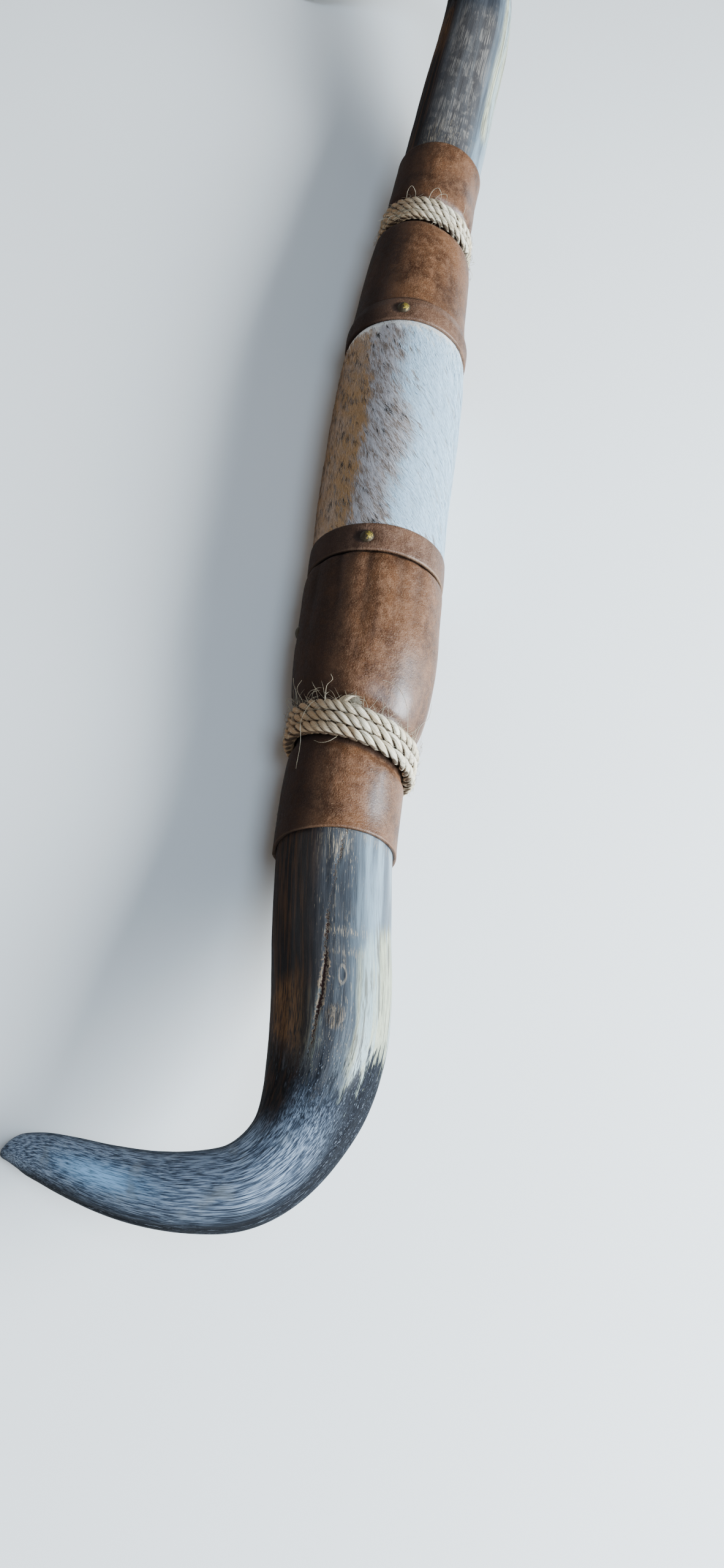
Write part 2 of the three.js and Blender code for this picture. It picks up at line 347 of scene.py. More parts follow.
def closed_shell(outer, thickness, lip=0.35):
    """An outer line with its inner wall, and edges rounded by a lip."""
    first, last = outer[0], outer[-1]
    rows = [[first[0], first[1] - lip, 1]]
    rows += [[first[0] + lip * 0.3, first[1] - lip * 0.3, 1]]
    rows += [[station, radius, 1] for station, radius in outer[1:-1]]
    rows += [[last[0] - lip * 0.3, last[1] - lip * 0.3, 1]]
    rows += [[last[0], last[1] - lip, 1]]
    inner = [[station, radius - thickness, 0] for station, radius in outer[::-1]]
    return rows + inner + rows[:1]


def under_strap(side):
    return side["strap"]["radius"] - STRAP_THICKNESS - GAP


def sleeve_outer(side):
    away = side["away"]
    middle = side["strap"]["at"]
    edge = [middle + away * JOINT, under_strap(side)]
    bend = [middle + away * (STRAP_WIDTH / 2 + GAP), under_strap(side)]
    return [*side["sleeve"], bend, edge] if away < 0 else [edge, bend, *side["sleeve"]]


def tubes(paths, widths, sides, marks=None):
    """Tapered strands along paths given in metres, closed at both ends."""
    bm = bmesh.new()
    straight = bm.verts.layers.float_vector.new("straight")
    tone = bm.verts.layers.float.new("tone")
    crevice_shade = bm.verts.layers.float.new("crevice_shade")
    for index, path in enumerate(paths):
        steps = len(path) - 1
        ahead = np.gradient(path, axis=0)
        ahead /= np.maximum(np.linalg.norm(ahead, axis=1, keepdims=True), 1e-9)
        guide = np.array([0.31, 0.17, 0.93])
        side_way = np.cross(ahead, guide)
        side_way /= np.maximum(np.linalg.norm(side_way, axis=1, keepdims=True), 1e-9)
        up_way = np.cross(side_way, ahead)
        run = running_length(path)
        outward = path - marks["middles"][index] if marks else ahead * 0
        outward /= np.maximum(np.linalg.norm(outward, axis=1, keepdims=True), 1e-9)
        made = bmesh.ops.create_grid(bm, x_segments=steps, y_segments=sides, size=0.5)
        width = widths[index]
        for vert in made["verts"]:
            i = round((vert.co.x + 0.5) * steps)
            turn = round((vert.co.y + 0.5) * sides) / sides * math.tau
            reach = width[i] * (marks["section"](run[i], turn) if marks else 1)
            sway = side_way[i] * math.cos(turn) + up_way[i] * math.sin(turn)
            vert.co = path[i] + sway * reach
            vert[straight] = (math.cos(turn) * 0.002, math.sin(turn) * 0.002, run[i] + index)
            vert[tone] = marks["tone"][index] if marks else (index * 0.37) % 1
            vert[crevice_shade] = 0.0
            if marks:
                # painted shade: darker on the strand's side towards the rope's middle and where the
                # turns meet
                inward = 0.5 - 0.5 * float(sway @ outward[i])
                beside = abs(vert.co.x - marks["middles"][index][i][0])
                vert[crevice_shade] = max(inward, 0.62 * smoothstep(beside / marks["half"], 0.72, 1.0))
    bmesh.ops.remove_doubles(bm, verts=bm.verts[:], dist=2e-6)
    return bm


# Shader work


class Field:
    """A value in a material's node tree, which takes plain arithmetic."""

    def __init__(self, tree, socket):
        self.tree = tree
        self.socket = socket

    def __add__(self, other):
        return calc("ADD", self, other)

    def __sub__(self, other):
        return calc("SUBTRACT", self, other)

    def __rsub__(self, other):
        return node(self.tree, "Math", {"operation": "SUBTRACT"}, {0: other, 1: self})

    def __mul__(self, other):
        return calc("MULTIPLY", self, other)

    def __abs__(self):
        return calc("ABSOLUTE", self, 0.0)

    def ramp(self, low, high, start=0.0, end=1.0):
        sockets = {"Value": self, "From Min": low, "From Max": high, "To Min": start, "To Max": end}
        return node(self.tree, "MapRange", {"interpolation_type": "SMOOTHSTEP"}, sockets, "Result")


def join(tree, value, socket):
    if isinstance(value, Field):
        tree.links.new(value.socket, socket)
    else:
        socket.default_value = value


def node(tree, kind, settings=None, sockets=None, output=0):
    """One output of a new node whose inputs are joined or set."""
    made = tree.nodes.new("ShaderNode" + kind)
    for key, value in (settings or {}).items():
        setattr(made, key, value)
    for key, value in (sockets or {}).items():
        join(tree, value, made.inputs[key])
    return Field(tree, made.outputs[output])


def calc(operation, first, second):
    return node(first.tree, "Math", {"operation": operation}, {0: first, 1: second})


def as_color(value):
    return value if isinstance(value, Field) else (*value, 1.0)


def paint(factor, under, over):
    sockets = {0: factor, 6: as_color(under), 7: as_color(over)}
    return node(factor.tree, "Mix", {"data_type": "RGBA"}, sockets, 2)


def layered(color, layers):
    """A colour with others laid over it in order, each by its own mask."""
    for factor, over in layers:
        color = paint(factor, color, over)
    return color


def new_group(name, given):
    """A group with these inputs, where None stands for a vector, and one output."""
    group = bpy.data.node_groups.new(name, "ShaderNodeTree")
    for label, value in given.items():
        kind = "NodeSocketVector" if value is None else "NodeSocketFloat"
        socket = group.interface.new_socket(label, in_out="INPUT", socket_type=kind)
        if value is not None:
            socket.default_value = value
    group.interface.new_socket("Value", in_out="OUTPUT", socket_type="NodeSocketFloat")
    start = group.nodes.new("NodeGroupInput")
    end = group.nodes.new("NodeGroupOutput")
    return group, [Field(group, start.outputs[label]) for label in given], end.inputs[0]


def make_streaks():
    given = {"Vector": None, "Around": 400.0, "Along": 20.0, "Shift": 0.0}
    group, (vector, around, along, shift), result = new_group("lengthwise streaks", given)
    x, y, z = [node(group, "SeparateXYZ", None, {0: vector}, axis) for axis in range(3)]
    spot = node(group, "CombineXYZ", None, {0: x * around, 1: y * around, 2: z * along + shift})
    noise_in = {"Vector": spot, "Scale": 1.0, "Detail": 3.0, "Roughness": 0.6}
    join(group, node(group, "TexNoise", None, noise_in, "Fac"), result)
    return group


def make_mottle():
    given = {"Vector": None, "Scale": 60.0, "Low": 0.4, "High": 0.6}
    group, (vector, scale, low, high), result = new_group("soft patches", given)
    noise_in = {"Vector": vector, "Scale": scale, "Detail": 4.0}
    join(group, node(group, "TexNoise", None, noise_in, "Fac").ramp(low, high), result)
    return group


def make_pebbles():
    given = {"Vector": None, "Scale": 900.0, "Roundness": 0.6}
    group, (vector, scale, roundness), result = new_group("pebbled grain", given)
    warp = node(group, "TexNoise", None, {"Vector": vector, "Scale": 300.0}, "Fac")
    settings = {"feature": "SMOOTH_F1"}
    cells = node(group, "TexVoronoi", settings, {"Vector": vector, "Scale": scale}, "Distance")
    join(group, warp - cells * roundness, result)
    return group


STREAKS = make_streaks()
MOTTLE = make_mottle()
PEBBLES = make_pebbles()


def streaks(where, around, along, shift=0.0):
    sockets = {"Vector": where, "Around": around, "Along": along, "Shift": shift}
    return node(where.tree, "Group", {"node_tree": STREAKS}, sockets)


def mottle(where, scale, low, high):
    sockets = {"Vector": where, "Scale": scale, "Low": low, "High": high}
    return node(where.tree, "Group", {"node_tree": MOTTLE}, sockets)


def pebbles(where, scale):
    return node(where.tree, "Group", {"node_tree": PEBBLES}, {"Vector": where, "Scale": scale})


class Finish:
    """A new material, what it reads from its mesh, and what it feeds its shader."""

    def __init__(self, name, constants):
        self.material = bpy.data.materials.new(name)
        self.material.use_nodes = True
        self.tree = self.material.node_tree
        self.shader = self.tree.nodes["Principled BSDF"]
        self.feed(constants)

    def feed(self, values):
        for key, value in values.items():
            join(self.tree, value, self.shader.inputs[key])

    def mark(self, label, output="Fac"):
        return node(self.tree, "Attribute", {"attribute_name": label}, None, output)

    def straight(self):
        return self.mark("straight", "Vector")

    def spot(self):
        return node(self.tree, "TexCoord", None, None, "Object")

    def bump(self, height, distance):
        sockets = {"Height": height, "Distance": distance, "Strength": 1.0}
        self.feed({"Normal": node(self.tree, "Bump", None, sockets, "Normal")})


# Materials

HORN_STREAKS = [
    (110.0, 7.0, 3.0), (480.0, 20.0, 11.0), (1900.0, 48.0, 23.0), (3400.0, 80.0, 31.0),
    (1900.0, 17.0, 41.0),
]


def slate_color(finish, where, grain):
    broad, middling, fine, hairline = grain[:4]
    scuffed = finish.mark("scuffed")
    scuffs = scuffed * fine.ramp(0.44, 0.62) * mottle(where, 95.0, 0.42, 0.56)
    flaked = hairline + finish.mark("flaky") * 0.13
    dark = paint(broad.ramp(0.36, 0.64), (0.024, 0.026, 0.031), (0.05, 0.053, 0.06))
    bright = paint(broad.ramp(0.4, 0.6), (0.09, 0.11, 0.13), (0.2, 0.26, 0.3))
    return layered(dark, [
        # painted light: brighter, bluer slate on the side that faces the window
        (finish.mark("lit") + (middling - 0.5) * 0.8, bright),
        (middling.ramp(0.54, 0.72, 0, 0.3), (0.05, 0.045, 0.042)),
        (fine.ramp(0.56, 0.7, 0, 0.4), (0.035, 0.033, 0.036)),
        (scuffed * 0.5, (0.075, 0.062, 0.054)),
        (scuffs * 0.7, (0.24, 0.21, 0.18)),
        (flaked.ramp(0.7, 0.76, 0, 0.85), (0.46, 0.36, 0.24)),
    ])


def cream_color(grain):
    broad, middling, fine = grain[:3]
    pale = paint(fine.ramp(0.35, 0.62), (0.25, 0.26, 0.18), (0.5, 0.5, 0.34))
    return layered(pale, [
        (broad.ramp(0.46, 0.6, 0, 0.7), (0.27, 0.37, 0.41)),
        (middling.ramp(0.5, 0.6, 0, 0.8), (0.1, 0.088, 0.062)),
        (fine.ramp(0.56, 0.66, 0, 0.7), (0.08, 0.052, 0.03)),
    ])


def brown_color(finish, grain):
    middling, fine = grain[1:3]
    amber = finish.mark("amber") * fine.ramp(0.4, 0.6)
    brown = paint(middling.ramp(0.42, 0.66), (0.009, 0.006, 0.005), (0.05, 0.023, 0.01))
    return paint(amber * 0.7, brown, (0.17, 0.08, 0.028))


def char_color(finish, where, grain):
    middling, fine, hairline, scratch = grain[1:]
    # the rubbed top of the tip: whitish scratches, with a painted bluish sheen in these colours
    # where the top faces the skylight
    rubbed_and_sheen = finish.mark("rubbed_and_sheen")
    scored = hairline + (middling - 0.5) * 0.4 + rubbed_and_sheen * 0.02
    # painted highlight: a streaky pale blue patch on the top of the near tip
    painted_highlight = finish.mark("painted_highlight") * scratch.ramp(0.3, 0.58, 0.25, 1.0)
    bloom = mottle(where, 70.0, 0.55, 0.75) * rubbed_and_sheen
    char = paint(fine.ramp(0.4, 0.66), (0.003, 0.0035, 0.005), (0.012, 0.014, 0.019))
    worn_and_sheen = paint(scratch.ramp(0.38, 0.62), (0.036, 0.046, 0.066), (0.2, 0.25, 0.33))
    umber = paint(middling.ramp(0.42, 0.66), (0.004, 0.003, 0.003), (0.026, 0.014, 0.009))
    return layered(char, [
        (rubbed_and_sheen, worn_and_sheen),
        (scored.ramp(0.63, 0.7, 0, 0.45), (0.36, 0.4, 0.46)),
        (scratch.ramp(0.48, 0.68, 0, 0.6) * rubbed_and_sheen, (0.4, 0.46, 0.54)),
        (scratch.ramp(0.42, 0.28, 0, 0.35), (0.006, 0.007, 0.011)),
        (painted_highlight * 0.95, (0.36, 0.66, 1.0)),
        (bloom * 0.5, (0.22, 0.23, 0.23)),
        (finish.mark("umber"), umber),
    ])


def crack_masks(finish, where, fine):
    """The flaky skin beside the crack, and the open crack itself."""
    wobble = (mottle(where, 620.0, 0.25, 0.75) - 0.5) * 2.0
    away = abs(finish.mark("crack_off") + wobble)
    broken = finish.mark("crack_pull") * fine.ramp(0.3, 0.55, 0.25, 1.1)
    flaky = broken - away * 0.5
    split = broken - away * 1.05
    return flaky.ramp(0.0, 0.4, 0, 0.55), split.ramp(0.0, 0.35)


def horn_material():
    constants = {"IOR": 1.42, "Specular IOR Level": 0.12, "Coat Roughness": 0.28}
    finish = Finish("grown_horn", constants)
    where = finish.straight()
    grain = [streaks(where, *row) for row in HORN_STREAKS]
    broad, middling, fine, hairline = grain[:4]
    cream = finish.mark("cream")
    dull = finish.mark("dull")
    scab = finish.mark("scab")
    pale_edge = cream + (middling - 0.5) * 1.5
    jagged = middling * 0.75 + fine * 0.35
    dark_edge = (jagged - 0.55) * 105.0 + finish.mark("tip_side")
    flaky, split = crack_masks(finish, where, fine)
    ring = abs(finish.mark("scar") - 1.0).ramp(0.3, 0.1) * fine.ramp(0.42, 0.56, 0, 0.55)
    crust = scab.ramp(1.25, 0.7) * fine.ramp(0.42, 0.56)
    color = layered(slate_color(finish, where, grain), [
        (pale_edge.ramp(0.3, 0.85, 0, 0.92), cream_color(grain)),
        # painted warm shade: dark brown on the side away from the window, with real amber patches
        # in it
        (finish.mark("warm_shade"), brown_color(finish, grain)),
        (dark_edge.ramp(-5.0, 7.0), char_color(finish, where, grain)),
        (flaky, (0.36, 0.25, 0.15)),
        (split, (0.026, 0.01, 0.009)),
        (ring, (0.36, 0.29, 0.21)),
        (crust * 0.5, (0.22, 0.16, 0.1)),
        (scab.ramp(1.1, 0.8) * fine.ramp(0.42, 0.34), (0.03, 0.02, 0.016)),
    ])
    rough = middling.ramp(0.3, 0.7, 0.32, 0.46) + split * 0.4 + dull * 0.5
    polished = broad.ramp(0.3, 0.7, 0.2, 0.55) * (1.0 - dull) * (1.0 - cream * 0.8)
    pits = mottle(where, 420.0, 0.7, 0.78)
    height = hairline * 0.3 + fine * 0.5 + middling * 0.6 - pits * 0.5 - split + crust * 0.6
    finish.feed({"Base Color": color, "Roughness": rough, "Coat Weight": polished})
    finish.bump(height, 0.0005)
    return finish.material


def leather_material(name, dark, middle, bright, polish):
    constants = {"IOR": 1.48, "Specular IOR Level": 0.24, "Coat Roughness": 0.34}
    finish = Finish(name, constants)
    where = finish.straight()
    crease_shade = finish.mark("crease_shade")
    painted_shade = finish.mark("painted_shade")
    soft = mottle(where, 45.0, 0.3, 0.7)
    spots = mottle(where, 210.0, 0.4, 0.75)
    fleck_and_sheen = streaks(where, 2400.0, 1100.0, 5.0)
    color = layered(paint(soft, dark, middle), [
        (spots * 0.45, bright),
        # painted sheen: light flecks that stand for highlights on the grain; the dark flecks below
        # are grain
        (fleck_and_sheen.ramp(0.54, 0.68, 0, 0.55), (0.26, 0.16, 0.09)),
        (fleck_and_sheen.ramp(0.46, 0.32, 0, 0.6), (0.016, 0.006, 0.003)),
        (streaks(where, 60.0, 9.0, 3.0).ramp(0.5, 0.68, 0, 0.5), (0.026, 0.01, 0.005)),
        # painted shade: near-black brown on the side away from the window, where the coat is also
        # taken off and the roughness raised
        (painted_shade * 0.86, (0.01, 0.0035, 0.0015)),
        # painted shade: dark in the creases beside the rope and the straps, in fold hollows, along
        # the seam and in the tack dents
        (crease_shade * 0.8, (0.012, 0.006, 0.004)),
        # pale cut edges; on the straps partly a painted highlight, paler on the side that faces the
        # window
        (finish.mark("trim_and_highlight") * 0.4, (0.34, 0.22, 0.14)),
    ])
    rough = spots.ramp(0.0, 1.0, polish, polish + 0.14) + crease_shade * 0.15 + painted_shade * 0.5
    polished = (soft.ramp(0.0, 1.0, 0.04, 0.14) + finish.mark("gloss") * 0.85) * (1.0 - painted_shade)
    finish.feed({"Base Color": color, "Roughness": rough, "Coat Weight": polished})
    finish.bump(pebbles(where, 1100.0) * 0.9 + streaks(where, 420.0, 200.0, 7.0) * 0.5, 0.0004)
    return finish.material


def skin_material():
    finish = Finish("cowhide_skin", {"Roughness": 0.85})
    where = finish.straight()
    patch = mottle(where, 90.0, 0.35, 0.65)
    finish.feed({"Base Color": paint(patch, (0.46, 0.42, 0.37), (0.66, 0.64, 0.6))})
    finish.bump(pebbles(where, 1200.0), 0.0003)
    return finish.material


def hair_material():
    finish = Finish("short_hair", {"IOR": 1.45, "Specular IOR Level": 0.2})
    shade = mottle(finish.spot(), 700.0, 0.3, 0.7)
    color = paint(shade * 0.1, finish.mark("coat", "Color"), (0.2, 0.18, 0.16))
    finish.feed({"Base Color": color, "Roughness": shade.ramp(0, 1, 0.5, 0.68)})
    return finish.material


def rope_material(name, warm_shade_strength):
    finish = Finish(name, {"IOR": 1.45, "Specular IOR Level": 0.3})
    spot = finish.spot()
    threads = streaks(finish.straight(), 1800.0, 60.0, 2.0)
    towards_tips = node(finish.tree, "SeparateXYZ", None, {0: spot}, 1)
    color = paint(threads.ramp(0.34, 0.66), (0.5, 0.35, 0.19), (0.92, 0.83, 0.62))
    color = layered(color, [
        (mottle(spot, 75.0, 0.35, 0.7) * 0.35, (0.93, 0.88, 0.74)),
        (mottle(spot, 42.0, 0.6, 0.72) * 0.7, (0.3, 0.14, 0.045)),
        (finish.mark("tone") * 0.14, (0.34, 0.22, 0.11)),
        # painted warm shade: the rope is browner towards the tips' side, away from the window
        (towards_tips.ramp(-0.002, 0.034, 0, warm_shade_strength), (0.27, 0.14, 0.055)),
        # painted shade in the crevices between strands and turns
        (finish.mark("crevice_shade").ramp(0.2, 0.5, 0, 0.93), (0.05, 0.024, 0.01)),
    ])
    finish.feed({"Base Color": color, "Roughness": threads.ramp(0.2, 0.8, 0.62, 0.85)})
    finish.bump(threads, 0.0008)
    return finish.material


def brass_material():
    finish = Finish("antique_brass", {})
    stain = mottle(finish.spot(), 900.0, 0.35, 0.65)
    # bright gold where the dome is worn and, as a painted reflection, on the side towards the
    # window; dark elsewhere
    mask = (finish.mark("worn_and_sheen") - stain * 0.35).ramp(0.15, 0.75)
    finish.feed({
        "Base Color": paint(mask, (0.035, 0.022, 0.008), (0.66, 0.46, 0.075)),
        "Roughness": mask.ramp(0, 1, 0.62, 0.3),
        "Metallic": mask.ramp(0, 1, 0.45, 0.95),
    })
    finish.bump(stain, 0.0001)
    return finish.material


def wood_material():
    finish = Finish("turned_wood", {})
    stretch_in = {"Vector": finish.spot(), "Scale": (8.0, 160.0, 160.0)}
    stretch = node(finish.tree, "Mapping", None, stretch_in)
    rings_in = {"Vector": stretch, "Scale": 1.0, "Detail": 4.0}
    rings = node(finish.tree, "TexNoise", None, rings_in, "Fac")
    color = paint(rings.ramp(0.35, 0.65), (0.3, 0.17, 0.075), (0.52, 0.34, 0.17))
    finish.feed({"Base Color": color, "Roughness": rings.ramp(0.3, 0.7, 0.6, 0.75)})
    finish.bump(rings, 0.0004)
    return finish.material


def floor_material():
    finish = Finish("pale_floor", {"Roughness": 0.9})
    soft = mottle(finish.spot(), 3.0, 0.3, 0.7)
    finish.feed({"Base Color": paint(soft, (0.74, 0.72, 0.69), (0.76, 0.74, 0.71))})
    return finish.material


HORN = horn_material()
SLEEVE_LEATHER = leather_material(
    "saddle_leather", (0.05, 0.018, 0.007), (0.125, 0.05, 0.02), (0.21, 0.1, 0.05), 0.42)
STRAP_LEATHER = leather_material(
    "strap_leather", (0.06, 0.026, 0.014), (0.12, 0.057, 0.032), (0.19, 0.105, 0.068), 0.45)
SKIN = skin_material()
HAIR = hair_material()
SISAL = rope_material("sisal_rope", 0.85)
LOOSE_SISAL = rope_material("loose_sisal", 0.1)
BRASS = brass_material()

# Horns

CRACK = [
    [-437, 117], [-423, 115], [-412, 112], [-402, 111], [-395, 110], [-379, 107.5], [-365, 106],
    [-351, 103], [-334, 100], [-311, 94], [-301, 92],
]
CRACK_PULL = [
    [-446, 0], [-436, 0.45], [-424, 0.8], [-418, 1.15], [-404, 1.35], [-394, 1.1], [-388, 0.5],
    [-366, 0.45], [-358, 0.2], [-346, 0.15], [-336, 0.45], [-318, 0.4], [-303, 0.25],
]
FAR_OFF = 50.0
NEAR_HORN_SIDES = 240
FAR_HORN_SIDES = 200
TIP_END = -660.5
TIP_CORNER = 7.6
TIP_SLOPE = 0.75
WORN_TIP = [
    [-661.5, 0], [-661.3, 4], [-660.8, 7.2], [-656, 8.8], [-646, 10.7], [-633, 12.8],
]

# Marks on the near horn: station, angle, half length and half width

SCAR = (-402, 93.5, 4.8, 2.0)
SCAB = (-424, 98, 6.5, 5.0)
NOTCH = (-453, 52, 2, 1.6)
PIT = (-474, 105, 3, 1.8)
# A painted highlight: a pale blue patch on the top of the near tip
PAINTED_HIGHLIGHT_SPOT = (-586, 86, 40, 9)

# Stations by angle, where the cream and the dark end of each horn begin

CREAM_ONSET = [[0, -350], [30, -352], [75, -372], [100, -398], [125, -402], [360, -350]]
DARK_EDGE_LEFT = [
    [0, -424], [26, -424], [46, -429], [60, -442], [76, -450], [101, -450], [129, -447],
    [151, -440], [200, -418], [270, -420], [330, -428], [360, -424],
]
DARK_EDGE_RIGHT = [
    [0, 425], [60, 440], [110, 430], [180, 412], [240, 420], [300, 434], [360, 425],
]


def crack_offset(stations, angles, radii):
    wander = 1.5 * (patches(71, stations, angles * 0, 6, 3) - 0.5)
    return np.radians(turn_from(angles, read_table(CRACK, stations))) * radii + wander


def scar_distance(stations, angles, radii, middle, turned_to, length, width):
    """1 on the rim of an oval mark, and 0 at its middle."""
    down = (stations - middle) / length
    return np.sqrt(down**2 + (np.radians(turn_from(angles, turned_to)) * radii / width) ** 2)


def bevelled_tip(stations, angles, radii):
    """The near tip ends in a flat worn slope, which runs out to a corner on the outer side."""
    slope = TIP_END + TIP_SLOPE * (TIP_CORNER - radii * np.cos(np.radians(angles)))
    return np.maximum(stations, slope)


def grown_relief(seed, rib, flute, stations, angles, radii):
    """Lumps, ribs and flutes of a grown horn, which fade out at its tip."""
    lumps = 1.2 * (layered_patches(seed, stations, angles, 60, 6) - 0.5)
    ribs = rib * (layered_patches(seed + 4, stations, angles, 45, 30) - 0.5)
    flutes = flute * (patches(seed + 8, stations, angles, 28, 70) - 0.5)
    return (lumps + ribs + flutes) * smoothstep(radii, 2, 14)


def horn_relief_left(stations, angles, radii):
    spot = (stations, angles, radii)
    away = np.abs(crack_offset(*spot))
    pull = read_table(CRACK_PULL, stations)
    split = -0.9 * pull * hump(away, 0.9)
    lip = 0.3 * pull * hump(away - 2.2)
    ring = scar_distance(*spot, *SCAR)
    scar = 0.3 * hump(ring - 1, 0.35) - 0.35 * hump(ring, 0.7)
    crust = 1 - smoothstep(scar_distance(*spot, *SCAB), 0.6, 1.3)
    flaked = 0.8 * (patches(41, stations, angles, 2.2, 130) - 0.4) * crust
    dents = -0.9 * hump(scar_distance(*spot, *NOTCH)) - 0.7 * hump(scar_distance(*spot, *PIT))
    outer_side = np.maximum(np.cos(np.radians(angles)), 0)
    pared = -5.2 * outer_side * smoothstep(stations, -636, -661)
    return grown_relief(31, 0.4, 0.3, *spot) + split + lip + scar + dents + flaked + pared


def horn_relief_right(stations, angles, radii):
    return grown_relief(131, 0.6, 0.35, stations, angles, radii)


def horn_marks_left(stations, angles, radii):
    spot = (stations, angles, radii)
    edge = read_table(DARK_EDGE_LEFT, angles)
    onset = read_table(CREAM_ONSET, angles)
    band = smoothstep(stations, onset + 12, onset - 22)
    cream = np.maximum.reduce([
        between_angles(angles, 40, 56) * band * 0.95,
        between_angles(angles, 122, 22) * 0.45 * smoothstep(stations, -400, -412),
        between_angles(angles, 300, 60) * 0.5 * band,
    ])
    front = 1 - smoothstep(edge - stations, -8, 24)
    flaky = np.maximum.reduce([
        between_angles(angles, 100, 30) * (1 - smoothstep(np.abs(stations + 312), 8, 26) * 0.5),
        between_angles(angles, 60, 50) * smoothstep(stations, -318, -303) * 0.9,
        between_angles(angles, 88, 36) * (hump(stations + 376, 5) + hump(stations + 389, 4)) * 1.15,
    ])
    beyond = smoothstep(edge - stations, -4, 14)
    rim = 1 - between_angles(angles, 88, 66)
    rubbed_middle = np.interp(stations, [-540, -470], [98, 116])
    rubbed_and_sheen = between_angles(angles, rubbed_middle, np.interp(stations, [-540, -470], [76, 66]))
    return {
        "tip_side": edge - stations,
        "cream": cream,
        # painted warm shade on the side away from the window
        "warm_shade": facing(angles, 106, 132) * 0.92 * front,
        "amber": between_angles(angles, 153, 30) * smoothstep(stations, -392, -408) * front,
        "flaky": flaky,
        "lit": 1 - facing(angles, 52, 104, 270, 330),
        # scratched top of the tip, also carrying a painted bluish sheen
        "rubbed_and_sheen": rubbed_and_sheen * smoothstep(stations, -450, -500) * smoothstep(stations, -660, -645),
        "painted_highlight": hump(scar_distance(*spot, *PAINTED_HIGHLIGHT_SPOT), 0.62),
        "dull": np.maximum(facing(angles, 122, 150), beyond * np.maximum(rim, 0.85)),
        "umber": facing(angles, 112, 138) * smoothstep(stations, -500, -470),
        "scuffed": np.minimum(flaky, 1) * 0.25,
        "crack_off": crack_offset(*spot),
        "crack_pull": read_table(CRACK_PULL, stations),
        "scar": scar_distance(*spot, *SCAR),
        "scab": scar_distance(*spot, *SCAB),
    }


def horn_marks_right(stations, angles, radii):
    edge = read_table(DARK_EDGE_RIGHT, angles)
    cream = between_angles(angles, 22, 42) * smoothstep(stations, 290, 330)
    low_cream = between_angles(angles, 262, 60) * 0.6 * smoothstep(stations, 340, 380)
    front = 1 - smoothstep(stations - edge, -8, 24)
    amber = between_angles(angles, 165, 30) * smoothstep(stations, 370, 392)
    none = np.zeros_like(stations)
    return {
        "tip_side": stations - edge,
        "cream": np.maximum(cream, low_cream),
        # painted warm shade on the side away from the window
        "warm_shade": facing(angles, 128, 150) * 0.85 * front,
        "amber": amber * front * 0.8,
        "flaky": between_angles(angles, 108, 40) * (1 - smoothstep(stations, 290, 330)),
        "lit": 1 - facing(angles, 40, 74, 290, 340),
        "rubbed_and_sheen": between_angles(angles, 98, 82) * smoothstep(stations, 440, 490),
        "painted_highlight": none,
        "dull": facing(angles, 112, 145),
        "umber": facing(angles, 118, 145) * smoothstep(stations, 500, 470),
        "scuffed": between_angles(angles, 96, 52) * (1 - smoothstep(stations, 400, 425)),
        "crack_off": none + FAR_OFF,
        "crack_pull": none,
        "scar": none + FAR_OFF,
        "scab": none + FAR_OFF,
    }


def horn_profile(side, radii):
    """The bare horn, its base inside the sleeve, and the hollow of its base."""
    away = side["away"]
    bare = [[station, max(radius, 0), 1] for station, radius in finely(radii, 1.7)]
    tip_end = 0 if away < 0 else -1
    bare[tip_end][1] = 0

    def in_sleeve(station):
        return [station, radius_at(side["sleeve"], station) - LEATHER - GAP, 0]

    base = side["base"]
    stations = [row[0] for row in side["sleeve"]]
    hidden = [in_sleeve(at) for at in stations if abs(base) < abs(at) < abs(side["cuff"])]
    pocket = [
        [base, POCKET_RADIUS, 0],
        [base + away * POCKET_DEPTH * 0.75, POCKET_RADIUS * 0.8, 0],
        [base + away * POCKET_DEPTH, 0, 0],
    ]
    cuff_row = bare[-1] if away < 0 else bare[0]
    cuff_row[2] = 0
    if away < 0:
        return [*bare, *hidden, in_sleeve(base), *pocket]
    return [*pocket[::-1], in_sleeve(base), *hidden, *bare]


def make_horns():
    tipped = WORN_TIP + [row for row in HORN_LEFT if row[0] > WORN_TIP[-1][0]]
    near = horn_profile(LEFT, tipped)
    far = horn_profile(RIGHT, HORN_RIGHT)
    left = turned(
        near, NEAR_HORN_SIDES, horn_relief_left, horn_marks_left, slide=bevelled_tip)
    piece_from(left, "polished_horn_left", HORN, ["horn_left"])
    right = turned(
        far, FAR_HORN_SIDES, horn_relief_right, horn_marks_right, is_soft=False)
    piece_from(right, "polished_horn_right", HORN, ["horn_right"])


# Leather sleeves and straps

SLEEVE_SEAM_ANGLE = 197
SLEEVE_SIDES = 168
STRAP_SIDES = 200


def painted_shade_of(angles):
    """Painted shade: how much darker the leather is painted on the side that faces the tips, away
    from the window.
    """
    return facing(angles, 102, 146, 235, 285)


